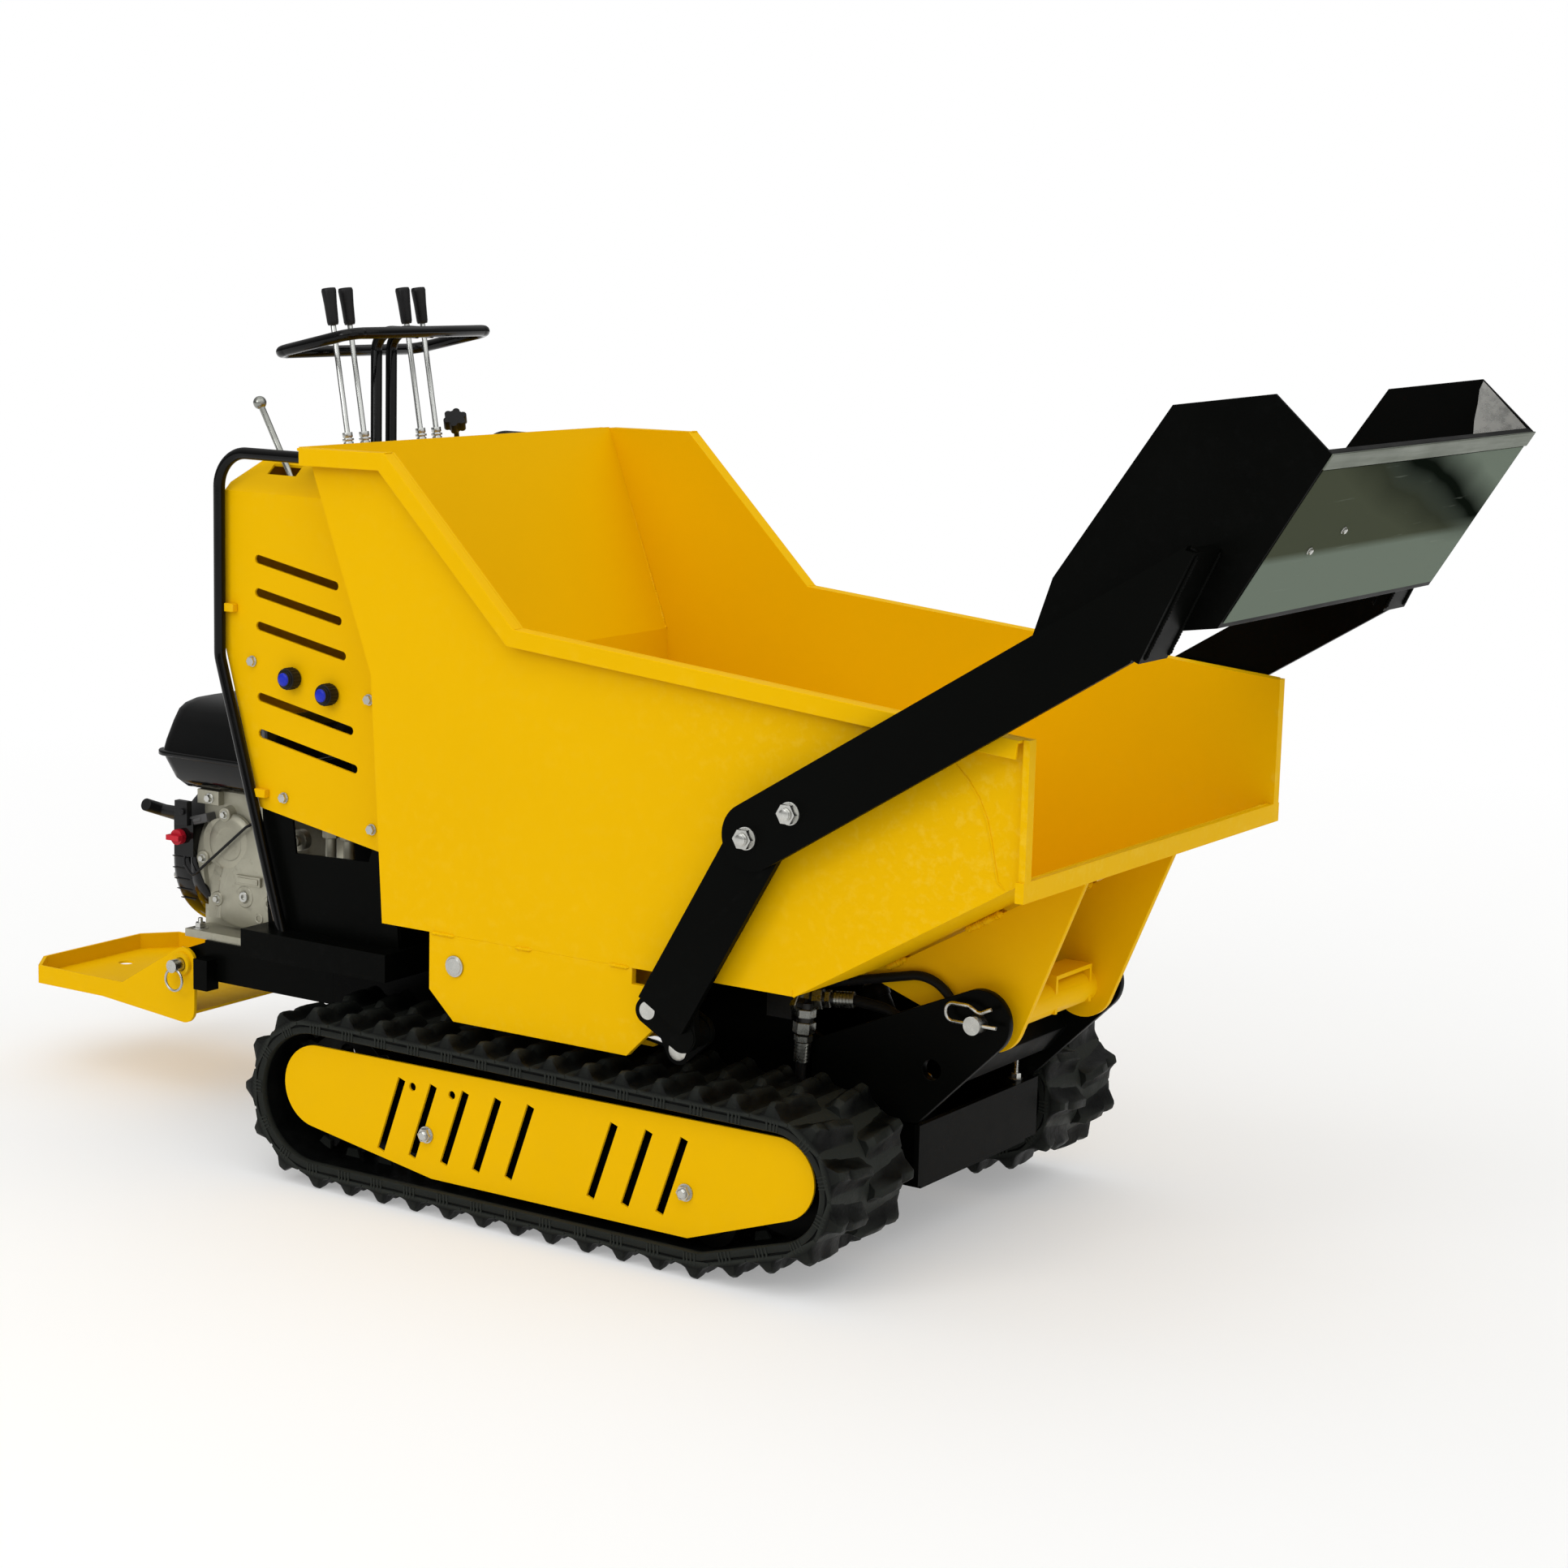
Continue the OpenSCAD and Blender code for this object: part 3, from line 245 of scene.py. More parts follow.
def bare_sheet_painted_reflection():
    """Bare sheet with a painted reflection: darker by the near lip and a dark band slanting across,
    and fine scratches.
    """
    t = Tree("bare_sheet_painted_reflection")
    place = t.split(t.coord.outputs["Generated"])
    wide, lip = place["Y"], place["Z"]
    wave = t.ramp(t.noise(4, 2), 0.3, 0.7, -0.05, 0.05)
    slant = t.plus(t.plus(t.times(wide, 0.9), lip), wave)
    # painted reflection: a dark band slanting across, and the sheet darker by the near lip
    band = t.times(t.ramp(slant, 1.02, 1.38), t.ramp(slant, 1.42, 1.66, 1, 0))
    painted_dark_reflection = t.times(t.ramp(lip, 0.38, 0.44), t.ramp(slant, 1.2, 1.36, 1, 0))
    col = t.mix(t.times(painted_dark_reflection, 0.9), (0.155, 0.188, 0.150), (0.052, 0.057, 0.034))
    col = t.mix(t.times(band, t.ramp(lip, 0.3, 0.5)), col, (0.004, 0.006, 0.004))
    scratch = t.ramp(t.noise(130, 3, 0.6, (1, 0.06, 1)), 0.66, 0.74)
    col = t.mix(t.times(scratch, 0.15), col, (0.3, 0.34, 0.28))
    return t.out(col, t.ramp(t.noise(12, 4), 0.3, 0.7, 0.3, 0.44), spec=0.0)


def grey(v):
    return (v, v, v)


M = {
    "yellow": paint("yellow_paint", (0.80, 0.455, 0.0), (0.78, 0.44, 0.0), (0.82, 0.52, 0.03),
                    rough=0.42, dust=0.02, spec=0.03),
    "black": paint("black_paint", (0.0012, 0.0014, 0.0011), (0.0019, 0.0021, 0.0017),
                   (0.004, 0.0042, 0.004), rough=0.32, dust=0.0, spec=0.03),
    "gloss_black": paint("gloss_black_paint", (0.0012, 0.0013, 0.0013), (0.0018, 0.0019, 0.0019),
                         grey(0.004), rough=0.1, dust=0.0, spec=0.18),
    # the third colour lightens the lug edges: partly dust, partly a painted highlight
    "track": rubber("track_rubber", (0.0014, 0.0017, 0.0016), (0.0085, 0.0094, 0.0082),
                    (0.026, 0.029, 0.025), rough=0.44, grain=240),
    "hose": rubber("hose_rubber", grey(0.004), grey(0.009), grey(0.012), rough=0.4, grain=500),
    "steel": metal("zinc_steel", (0.58, 0.58, 0.55), (0.46, 0.46, 0.43), 0.27, bump=0.03),
    "fitting": metal("fitting_steel", (0.36, 0.37, 0.34), (0.22, 0.22, 0.20), 0.28, bump=0.02),
    "rod": metal("bright_rod", (0.56, 0.57, 0.55), (0.47, 0.48, 0.46), 0.26, (1, 1, 0.2), 0.0),
    "oiled": metal("oiled_steel", grey(0.05), (0.03, 0.03, 0.028), 0.45),
    "lip": metal("worn_lip", (0.19, 0.21, 0.17), (0.11, 0.125, 0.095), 0.42, (1, 0.06, 1)),
    "chrome": metal("hard_chrome", grey(0.8), grey(0.7), 0.12),
    "alloy": cast("cast_alloy", (0.42, 0.405, 0.32), (0.26, 0.248, 0.19), 0.42, 0.6),
    # the cast alloy darkened as painted shade, for the gearbox
    "alloy_painted_shade": cast("alloy_painted_shade", (0.05, 0.048, 0.04), (0.03, 0.029, 0.025), 0.5, 0.5),
    "iron": cast("cast_iron", grey(0.10), grey(0.06), 0.55, 0.4),
    "plastic": plastic("black_plastic", (0.006, 0.006, 0.0065), (0.010, 0.010, 0.0105), 0.38),
    "tank": plastic("tank_black", (0.0018, 0.0020, 0.0020), (0.0028, 0.0030, 0.0030), 0.1,
                    grain=300, bump=0.03, spec=0.22),
    "red": plastic("red_plastic", (0.50, 0.012, 0.03), (0.42, 0.01, 0.02), 0.3),
    "blue": plastic("blue_plastic", (0.012, 0.03, 0.50), (0.01, 0.02, 0.40), 0.25),
    "sheet": bare_sheet_painted_reflection(),
}

# finish of the solids

FINISH = {
    "yellow": "side_covers hood_shell skip_shell skip_rim skip_brackets skirt_plates platform",
    "black": "main_frame pivot_arms engine_base track_frames hood_lower_panel oil_tank loader_arms"
             " bucket lift_barrels dump_barrel idler_right idler_left roller_right_rear"
             " roller_right_front roller_left_rear roller_left_front",
    "gloss_black": "tube_frame handle_loop",
    "track": "track_right track_left",
    "hose": "hoses",
    "fitting": "gear_lever",
    "oiled": "sprocket_right sprocket_left hose_fittings",
    "steel": "panel_fasteners loader_pins arm_bolts tip_pins platform_pins muffler",
    "rod": "lever_1 lever_2 lever_3 lever_4",
    "chrome": "lift_rods dump_rod",
    "alloy": "engine_block",
    # the gearbox is painted in shade with a darkened alloy
    "alloy_painted_shade": "gearbox",
    "iron": "control_valve",
    "plastic": "air_cleaner recoil_handle grip_1 grip_2 grip_3 grip_4 flow_knob_rear"
               " flow_knob_front star_knob fuel_cap",
    "tank": "fuel_tank fan_cover",
    "red": "engine_switch",
}
EDGE = 0.0008  # metres of bevel, where a node has none of its own below
SOFT_EDGE = {
    "skip_shell": 0.0015, "bucket": 0.0012, "loader_arms": 0.0015, "platform": 0.0012,
    "hood_shell": 0.0015, "engine_block": 0.004, "fan_cover": 0.002, "fuel_tank": 0.006,
    "gearbox": 0.003, "engine_base": 0.002, "main_frame": 0.0012, "control_valve": 0.0015,
}
WELD_GAP = 0.00003
FLAT_ANGLE, NODE_ANGLE, PIECE_ANGLE = (math.radians(a) for a in (0.5, 40, 32))


def bevel(o, width, angle):
    b = o.modifiers.new("edges", "BEVEL")
    b.width = width
    b.segments = 2
    b.limit_method = "ANGLE"
    b.angle_limit = angle


def finish_node(name, mat):
    o = NODES[name]
    o.data.materials.clear()
    o.data.materials.append(mat)
    w = o.modifiers.new("weld", "WELD")
    w.merge_threshold = WELD_GAP
    d = o.modifiers.new("flat", "DECIMATE")
    d.decimate_type = "DISSOLVE"
    d.angle_limit = FLAT_ANGLE
    bevel(o, SOFT_EDGE.get(name, EDGE), NODE_ANGLE)


for key, names in FINISH.items():
    for n in names.split():
        finish_node(n, M[key])

# helpers for pieces, with sizes in mm

BOX_FACES = ((0, 1, 3, 2), (4, 6, 7, 5), (0, 4, 5, 1), (2, 3, 7, 6), (0, 2, 6, 4), (1, 5, 7, 3))


def piece(name, bm, mat, body, smooth, edge=0.0):
    """Make an object of a mesh, on a body and with a slot; smooth is in degrees, edge in metres."""
    bmesh.ops.recalc_face_normals(bm, faces=bm.faces)
    me = bpy.data.meshes.new(name)
    bm.to_mesh(me)
    bm.free()
    me.materials.append(M[mat])
    me.polygons.foreach_set("use_smooth", [True] * len(me.polygons))
    me.set_sharp_from_angle(angle=math.radians(smooth))
    o = link(bpy.data.objects.new(name, me))
    if edge:
        bevel(o, edge, PIECE_ANGLE)
    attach(o, body)
    return o


def around(n):
    return [2 * math.pi * i / n for i in range(n)]


def skin(bm, rows, caps=True):
    """Join rows of points, each closed on itself, and close both ends."""
    for p, q in zip(rows, rows[1:]):
        for i in range(len(p)):
            j = (i + 1) % len(p)
            bm.faces.new((p[i], p[j], q[j], q[i]))
    if caps:
        bm.faces.new(rows[0][::-1])
        bm.faces.new(rows[-1])


def turned(bm, base, axis, prof, seg=32, spin=0.0):
    """Revolve (radius, height) points about an axis from a base point. Six sides make a hexagon."""
    d = Vector(axis).normalized()
    a = d.orthogonal().normalized()
    b = d.cross(a)
    flats = 1 / math.cos(math.pi / seg) if seg <= 8 else 1
    rows = []
    for r, h in prof:
        mid = base + d * (h / MM)
        if r <= 0:
            rows.append([bm.verts.new(mid)])
            continue
        out = r * flats / MM
        rows.append([bm.verts.new(mid + (a * math.cos(w + spin) + b * math.sin(w + spin)) * out)
                     for w in around(seg)])
    for p, q in zip(rows, rows[1:]):
        for i in range(seg):
            j = (i + 1) % seg
            if len(p) == 1:
                bm.faces.new((p[0], q[i], q[j]))
            elif len(q) == 1:
                bm.faces.new((p[i], p[j], q[0]))
            else:
                bm.faces.new((p[i], p[j], q[j], q[i]))
    for ring in (rows[0][::-1], rows[-1]):
        if len(ring) > 2:
            bm.faces.new(ring)


def nut(r, n, chamfer=1):
    """Profile of a nut n long, r from its axis to a flat."""
    return [(r - 1, 0), (r, chamfer), (r, n - chamfer), (r - 1, n), (0, n)]


def bolt(bm, at, axis, flats, head, washer, stud=0.0):
    """A bolt's head on its washer, with the end of a stud where it shows."""
    turned(bm, at, axis, [(washer - 0.4, -0.2), (washer, 0.3), (washer, 1.4), (washer - 0.5, 1.8),
                          (0, 1.8)], 28)
    base = at + Vector(axis).normalized() * (1.7 / MM)
    r = flats / 2
    turned(bm, base, axis, [(r, -0.2), (r, head - 1.2), (r * 0.9, head), (0, head)], 6, 0.4)
    if stud:
        threads = [(stud, head - 0.5)]
        for i in range(4):
            h = head + i * 1.4
            threads += [(stud, h + 1), (stud * 0.9, h + 1.7)]
        turned(bm, base, axis, threads + [(stud * 0.85, head + 7), (0, head + 7)], 20)


def box_faces(bm, v):
    """The faces on a box's eight points; the last of its three directions runs fastest."""
    for f in BOX_FACES:
        bm.faces.new([v[i] for i in f])


def block(bm, lo, hi, turn=None):
    """A box between two corners; turn is a centre, an angle and an axis."""
    xs, ys, zs = zip(lo, hi)
    v = [bm.verts.new(P(x, y, z)) for x in xs for y in ys for z in zs]
    box_faces(bm, v)
    if turn:
        centre, angle, axis = turn
        bmesh.ops.rotate(bm, verts=v, cent=centre, matrix=Matrix.Rotation(angle, 3, axis))


def tube(bm, pts, radius, seg, caps=True):
    """A tube along points; radius is a number or a function of the length."""
    rows, s, side = [], 0.0, None
    last = len(pts) - 1
    for i, p in enumerate(pts):
        d = (pts[min(i + 1, last)] - pts[max(i - 1, 0)]).normalized()
        if side is None:
            side = d.orthogonal().normalized()
        side = (side - d * side.dot(d)).normalized()
        up = d.cross(side)
        if i:
            s += (p - pts[i - 1]).length * MM
        r = (radius(s) if callable(radius) else radius) / MM
        rows.append([bm.verts.new(p + (side * math.cos(w) + up * math.sin(w)) * r)
                     for w in around(seg)])
    skin(bm, rows, caps)


def swell(r, end, first, last):
    """A tube's radius: r between two lengths, and end outside them."""
    return lambda s: r if first < s < last else end


def bead(bm, a, b, r, wobble=0.6):
    """A weld bead from a to b, with its ripples."""
    length = (b - a).length * MM
    n = max(3, int(length / 1.1))
    side, sway = (b - a).normalized().orthogonal(), 0.0004 * wobble
    pts = [a.lerp(b, i / n) + side * (sway * math.sin(i * 1.7) * math.sin(i * 0.31))
           for i in range(n + 1)]

    def ripple(s):
        taper = min(1.0, 0.45 + min(s, length - s) / 5)
        return r * (0.86 + 0.14 * math.sin(s * 1.55) + 0.05 * math.sin(s * 0.37)) * taper

    tube(bm, pts, ripple, 8)


def route(pts, bend, step=4.0):
    """Points along a line in x and z whose corners are rounded to a bend radius."""
    out = [Vector(pts[0])]
    for a, p, b in zip(pts, pts[1:], pts[2:]):
        a, p, b = Vector(a), Vector(p), Vector(b)
        u, w = (a - p).normalized(), (b - p).normalized()
        turn = math.pi - u.angle(w)
        cut = bend * math.tan(turn / 2)
        c = p + (u + w).normalized() * (bend / math.cos(turn / 2))
        x, y = p + u * cut - c, p + w * cut - c
        n = max(4, int(bend * turn / step))
        for k in range(n + 1):
            f = k / n
            arc = x * math.sin((1 - f) * turn) + y * math.sin(f * turn)
            out.append(c + arc / math.sin(turn))
    out.append(Vector(pts[-1]))
    return out


# tracks

WHEELS = [(-378, 132, 112), (285, 73, 53), (400, 148, 92)]  # x, z and radius to the belt's outside
TRACK_Y = 290
LUG_PITCH = 60
BELT_STEP = 8
BELT_HALF = [(88.4, 0.6), (90.2, -1.2), (90.6, -4.8), (89.2, -5.8), (89.2, -7), (90.8, -8.2),
             (91, -13.5), (89.8, -17), (86.5, -18.6), (81, -18.2), (77.5, -14)]
# sections of a lug: place across the belt, half widths at foot, middle and top, height and lead
LUG = [(3, 15, 10, 5, 10, -5), (12, 20, 12, 5.5, 18, -4), (38, 21, 12, 5.5, 20, -1),
       (53, 22, 12, 5.5, 20, 0), (61, 24, 14, 6.5, 15.5, 2), (71, 24, 12.5, 5.5, 19, 3),
       (82, 26, 12, 4.6, 20.3, 4), (88, 27.5, 13, 5, 16.5, 4), (91.4, 28, 18, 9, 4, 4)]


def tangent(a, b):
    """The outer tangent of two wheels, as a point on each."""
    l = math.hypot(b[0] - a[0], b[1] - a[1])
    d = ((b[0] - a[0]) / l, (b[1] - a[1]) / l)
    s = (a[2] - b[2]) / l
    c = math.sqrt(1 - s * s)
    n = (d[0] * s + d[1] * c, d[1] * s - d[0] * c)
    return (a[0] + a[2] * n[0], a[1] + a[2] * n[1]), (b[0] + b[2] * n[0], b[1] + b[2] * n[1])


def make_loop():
    """The belt's straight runs and arcs: kind, start or wheel, heading and length."""
    runs = []
    for i in range(3):
        p, q = tangent(WHEELS[i], WHEELS[(i + 1) % 3])
        heading = math.atan2(q[1] - p[1], q[0] - p[0])
        runs.append((p, heading, math.hypot(q[0] - p[0], q[1] - p[1])))
    loop = []
    for i in range(3):
        p, heading, length = runs[i]
        wheel = WHEELS[(i + 1) % 3]
        sweep = (runs[(i + 1) % 3][1] - heading) % (2 * math.pi)
        loop += [("line", p, heading, length), ("arc", wheel, heading, wheel[2] * sweep)]
    return loop


LOOP = make_loop()
LOOP_LENGTH = sum(p[3] for p in LOOP)
LINKS = round(LOOP_LENGTH / LUG_PITCH)
PITCH = LOOP_LENGTH / LINKS


def along(s, n):
    """x and z of a point n outside the belt's outer face, s along the loop."""
    s %= LOOP_LENGTH
    for kind, a, h, l in LOOP:
        if s <= l:
            break
        s -= l
    if kind == "line":
        x, z = a[0] + math.cos(h) * s, a[1] + math.sin(h) * s
    else:
        h += s / a[2]
        x, z = a[0] + a[2] * math.sin(h), a[1] - a[2] * math.cos(h)
    return x + n * math.sin(h), z - n * math.cos(h)


def make_track(side):
    sign = 1 if side == "left" else -1

    def at(s, n, dy):
        x, z = along(s, n)
        return P(x, sign * (TRACK_Y + dy), z)

    bm = bmesh.new()
    prof = BELT_HALF + [(-y, n) for y, n in BELT_HALF[::-1]]
    count = int(LOOP_LENGTH / BELT_STEP)
    rings = [[bm.verts.new(at(LOOP_LENGTH * i / count, n, y)) for y, n in prof]
             for i in range(count)]
    skin(bm, rings + rings[:1], caps=False)

    def brick(s, u, n, y, taper=0.0):
        """A block on the belt, between pairs of places along, out of and across it."""
        inward = {u[0]: taper, u[1]: -taper}
        box_faces(bm, [bm.verts.new(at(s + a + (inward[a] if b == n[1] else 0), b, c))
                       for a in u for b in n for c in y])

    for i in range(LINKS):
        s = i * PITCH
        for e in SIDES:
            for u in (-10, -5, 1, 7):  # ribs on the belt's edge
                brick(s + (0 if e > 0 else PITCH / 2), (u, u + 2.4), (-16.6, -1.5),
                      (e * 86, e * 91.8))
            # guide teeth inside
            brick(s + PITCH / 4, (-13, 13), (-13, -26), (e * 15.6, e * 20.4), 4)
    belt = piece("track_%s_belt" % side, bm, "track", "chassis", 32)
    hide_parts("track_%s" % side)

    bm = bmesh.new()
    for i in range(LINKS):
        for e, phase in ((1, 0.0), (-1, 0.5)):
            rows = []
            for dy, foot, mid, top, h, lead in LUG:
                s = (i + phase) * PITCH
                row = [(-foot, -4), (-foot, 0.2), (-mid, 0.3 * h), (-top, h - 1), (-top + 1.5, h)]
                row += [(-u, n) for u, n in row[::-1]]
                rows.append([bm.verts.new(at(s + u + lead, n, e * dy)) for u, n in row])
            skin(bm, rows)
    piece("track_%s_lugs" % side, bm, "track", "chassis", 50, 0.0016)


for side in ("right", "left"):
    make_track(side)

# hoses, along the source's own routes

HOSE_BEND = 60
HOSE_IN, HOSE_OUT = -139, -176  # y of the inner and outer hoses
HOSES = [
    ("hose_over", HOSE_IN, 6.5, [(292, 356), (505, 404), (536, 338.4)]),
    ("hose_down", HOSE_OUT, 7.5, [(312, 262), (306, 158), (412, 150)]),
    ("hose_across", HOSE_IN, 7.5, [(372, 346), (452, 340), (475, 262)]),
]
for name, y, r, pts in HOSES:
    line = [P(x, y, z) for x, z in route(pts, HOSE_BEND)]
    cu = bpy.data.curves.new(name, "CURVE")
    cu.dimensions = "3D"
    sp = cu.splines.new("POLY")
    sp.points.add(len(line) - 1)
    for q, p in zip(sp.points, line):
        q.co = (*p, 1)
    cu.bevel_depth = r / MM
    cu.bevel_resolution = 5
    cu.materials.append(M["hose"])
    o = link(bpy.data.objects.new(name, cu))
    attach(o, "chassis")
    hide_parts("hoses")


def crimp(bm, a, b, r, nuts):
    """A crimped ferrule ending at b, and nuts from a on, as (start, length, across flats)."""
    d = (b - a).normalized()
    l = (b - a).length * MM
    prof, x = [(r * 0.9, l - 26)], l - 25
    while x < l - 1:
        prof += [(r * 1.08, x), (r * 1.08, x + 3), (r, x + 3.4), (r, x + 4.2)]
        x += 4.6
    turned(bm, a, d, prof + [(r * 0.95, l), (0, l)])
    for s, n, flats in nuts:
        turned(bm, a + d * (s / MM), d, nut(flats / 2, n, 0.8), 6, 0.3)


bm = bmesh.new()
crimp(bm, P(317.6, HOSE_OUT, 342), P(312.02, HOSE_OUT, 262.3), 10.5,
      [(8, 12, 25), (26, 16, 27), (45, 9, 22)])
crimp(bm, P(296, -162, 343), P(368.6, HOSE_IN, 346), 10.5, [(8, 10, 24), (21, 14, 27), (38, 8, 22)])
crimp(bm, P(282.7, HOSE_IN, 353.9), P(291.7, HOSE_IN, 355.93), 9.4, [])
turned(bm, P(300, HOSE_OUT, 338), X_AXIS, nut(13.5, 9), 6, 0.2)
for x, y, z in ((540, -131, 330), (477.6, -130, 253.1)):
    turned(bm, P(x, y, z), (0, 1, 0), [(9, 0), (9.5, 0.6), (9.5, 4), (8.4, 5), (0, 5)], 6, 0.2)
piece("hose_nuts", bm, "fitting", "chassis", 30)

# shovel and arms

ARM_PIN_X, ARM_PIN_Z = 197, 350
LIFT = math.radians(58)  # from flat on the ground up to the photographed pose


def R(x, y, z):
    """A point of the shovel as the source draws it, flat on the ground, turned up with the arms."""
    c, s = math.cos(LIFT), math.sin(LIFT)
    x, z = x - ARM_PIN_X, z - ARM_PIN_Z
    return P(ARM_PIN_X + x * c - z * s, y, ARM_PIN_Z + x * s + z * c)


def panel(bm, at, x0, x1, half, t, nx, ny):
    """A thin closed sheet; at(x, y, depth) gives a point of either face."""
    xs = [x0 + (x1 - x0) * i / nx for i in range(nx + 1)]
    ys = [-half + 2 * half * j / ny for j in range(ny + 1)]
    faces = [[[bm.verts.new(at(x, y, depth)) for y in ys] for x in xs] for depth in (0, t)]
    for g in faces:
        for i in range(nx):
            for j in range(ny):
                bm.faces.new((g[i][j], g[i + 1][j], g[i + 1][j + 1], g[i][j + 1]))
    rim = [(i, 0) for i in range(nx)] + [(nx, j) for j in range(ny)]
    rim += [(i, ny) for i in range(nx, 0, -1)] + [(0, j) for j in range(ny, 0, -1)]
    top, under = faces
    for (i, j), (a, b) in zip(rim, rim[1:] + rim[:1]):
        bm.faces.new((top[i][j], top[a][b], under[a][b], under[i][j]))


def waved(x, y, depth):
    return R(x, y, -0.5 - depth - 0.25 * math.sin(x * 0.021) * math.cos(y * 0.011))


def flat(x, y, depth):
    return R(x, y, -0.4 - depth)


# the bucket's bare underside, its sheen a painted reflection
bm = bmesh.new()
panel(bm, waved, 1094, 1312, 317, 0.7, 24, 36)
piece("bucket_underside", bm, "sheet", "loader", 25)
bm = bmesh.new()
panel(bm, flat, 1314, 1336, 322, 2.2, 6, 60)
piece("bucket_edge", bm, "lip", "loader", 25, 0.0006)

# bare metal inside the far cheek: a bright steel patch, partly wear and partly a painted reflection
CHEEK_WEAR_AND_REFLECTION = [(1334, 10), (1350, 93), (1338, 91), (1321, 82), (1302, 74), (1284, 63), (1263, 55),
              (1244, 44), (1224, 37), (1198, 10)]
bm = bmesh.new()
rows = [[bm.verts.new(R(x, y, z)) for x, z in CHEEK_WEAR_AND_REFLECTION] for y in (316.9, 316.3)]
skin(bm, rows, False)
for row in rows:
    bm.faces.new(row)
piece("bucket_cheek_wear_and_reflection", bm, "steel", "loader", 25)

bm = bmesh.new()
down = (R(1200, 0, -1) - R(1200, 0, 0)).normalized()
for x, y in ((1215, -133), (1190, -200)):
    bolt(bm, R(x, y, -1.2), down, 7, 3, 5)
ARM_STUD = [(7.9, -0.2), (8.3, 0.6), (7.4, 1.3), (8.3, 2), (7.4, 2.7), (8.2, 3.4), (6.6, 4.3),
            (0, 4.3)]
PIN_FACE = [(13, -0.2), (13.4, 0.1), (12.4, 0.55), (3, 0.55), (0, 0.3)]
for e in SIDES:
    for x, z in ((361, 604), (426, 644)):
        turned(bm, P(x, e * 408, z), (0, e, 0), ARM_STUD, 24)
    turned(bm, P(223.2, e * 341.4, 293.8), (0, e, 0), PIN_FACE, 36)
piece("loader_bolts", bm, "steel", "loader", 30)

COVER_STUD = [(6.6, -3), (6.9, -2.4), (6, -1.6), (6.9, -0.8), (6, 0), (6.8, 0.8), (5.2, 2), (0, 2)]
bm = bmesh.new()
for e in SIDES:
    for x, z in ((-181, 112), (258, 112)):
        turned(bm, P(x, e * 376, z), (0, e, 0), COVER_STUD, 24)
piece("cover_studs", bm, "rod", "chassis", 30)

# weld beads

bm = bmesh.new()
for e in SIDES:
    for y in (323.4, 384.6):  # both faces of an arm's end
        bead(bm, P(904, e * y, 882), P(966, e * y, 1010), 3.4)
        bead(bm, P(887, e * y, 886), P(950, e * y, 1016), 3.0)
    bead(bm, P(953, e * 386, 1017), P(965, e * 386, 1013), 3.0)
    bead(bm, R(1092, e * 316, 4), R(934, e * 316, 190), 2.6)
    bead(bm, R(1099, e * 316, 10), R(1272, e * 316, 10), 2.6)
piece("loader_welds", bm, "black", "loader", 60)

SKIP_SIDE, SKIP_INSIDE = 352, 346.5
SKIP_CORNERS = (
    ((-296, 747), (-273, 402)),
    ((-273, 402), (409, 402)),
    ((409, 402), (735, 593)),
    ((-411, 1046), (-294, 747)),
)
SIDE_SEAM = [(637, 726), (656, 707), (672, 686), (684, 661), (691, 635), (697, 606), (702, 586),
             (712, 577)]
bm = bmesh.new()
for e in SIDES:
    for x0, x1 in ((-186, -145), (-40, -12), (118, 150)):  # over the skirt plate
        bead(bm, P(x0, e * (SKIP_SIDE + 0.2), 396.4), P(x1, e * (SKIP_SIDE + 0.2), 396.4), 3.0)
    for x, z in ((-259, 1052), (-35, 832)):  # mitres of the rim
        bead(bm, P(x, e * 354, z), P(x, e * 371, z), 1.6, 0.2)
    for y in (119, 131):  # both faces of a bracket under the skip
        a, b = P(415, e * y, 396), P(713, e * y, 567)
        for t0, t1 in ((0.0, 0.1), (0.4, 0.58), (0.8, 0.94)):
            bead(bm, a.lerp(b, t0), a.lerp(b, t1), 5.5)
    bead(bm, P(734, e * 353, 592), P(734, e * 353, 764), 1.8)
    for (x0, z0), (x1, z1) in SKIP_CORNERS:
        bead(bm, P(x0, e * SKIP_INSIDE, z0), P(x1, e * SKIP_INSIDE, z1), 2.6)
    tube(bm, [P(x, e * SKIP_SIDE, z) for x, z in SIDE_SEAM], swell(1.7, 0.5, 4, 165), 8)
piece("skip_welds", bm, "yellow", "skip", 60)

# knobs, guard tubes and pipes

KNOB_CAP = [(9.4, 0), (9.6, 0.8), (9.0, 2.0), (7.4, 2.9), (4, 3.4), (0, 3.6)]
KNOB_RING = [(11.4, -1), (12.6, 0.4), (12.4, 1.2), (11, 1.6), (11, 4.2), (10, 4.6), (0, 4.6)]
KNOB_R = 15
for name, x, z in (("rear", -493, 714), ("front", -423, 698)):
    knob = "flow_knob_%s" % name
    bm = bmesh.new()
    turned(bm, P(x, -311.8, z), NEAR, KNOB_CAP)
    piece("flow_cap_%s" % name, bm, "blue", knob, 40)
    bm = bmesh.new()
    for w in around(20):
        u, v = x + KNOB_R * math.cos(w), z + KNOB_R * math.sin(w)
        tube(bm, [P(u, -y, v) for y in (291.5, 293, 304, 307)], swell(1.1, 0.5, 0.5, 14), 8)
    turned(bm, P(x, -308, z), NEAR, KNOB_RING)
    piece("flow_grip_%s" % name, bm, "plastic", knob, 40)

HOOD_SIDE, HOOD_TOP, BASE_TOP = 290, 1024, 345
GUARD_Y, GUARD_R, GUARD_BEND, GUARD_TOP = 300.5, 8.5, 52, 1030
GUARD = [(-502, BASE_TOP - 20), (-625, 735), (-625, GUARD_TOP), (-450, GUARD_TOP)]
bm = bmesh.new()
for e in SIDES:
    tube(bm, [P(x, e * GUARD_Y, z) for x, z in route(GUARD, GUARD_BEND, 2.5)], GUARD_R, 32)
    block(bm, (-486, e * (HOOD_SIDE - 60), HOOD_TOP), (-470, e * GUARD_Y, GUARD_TOP))
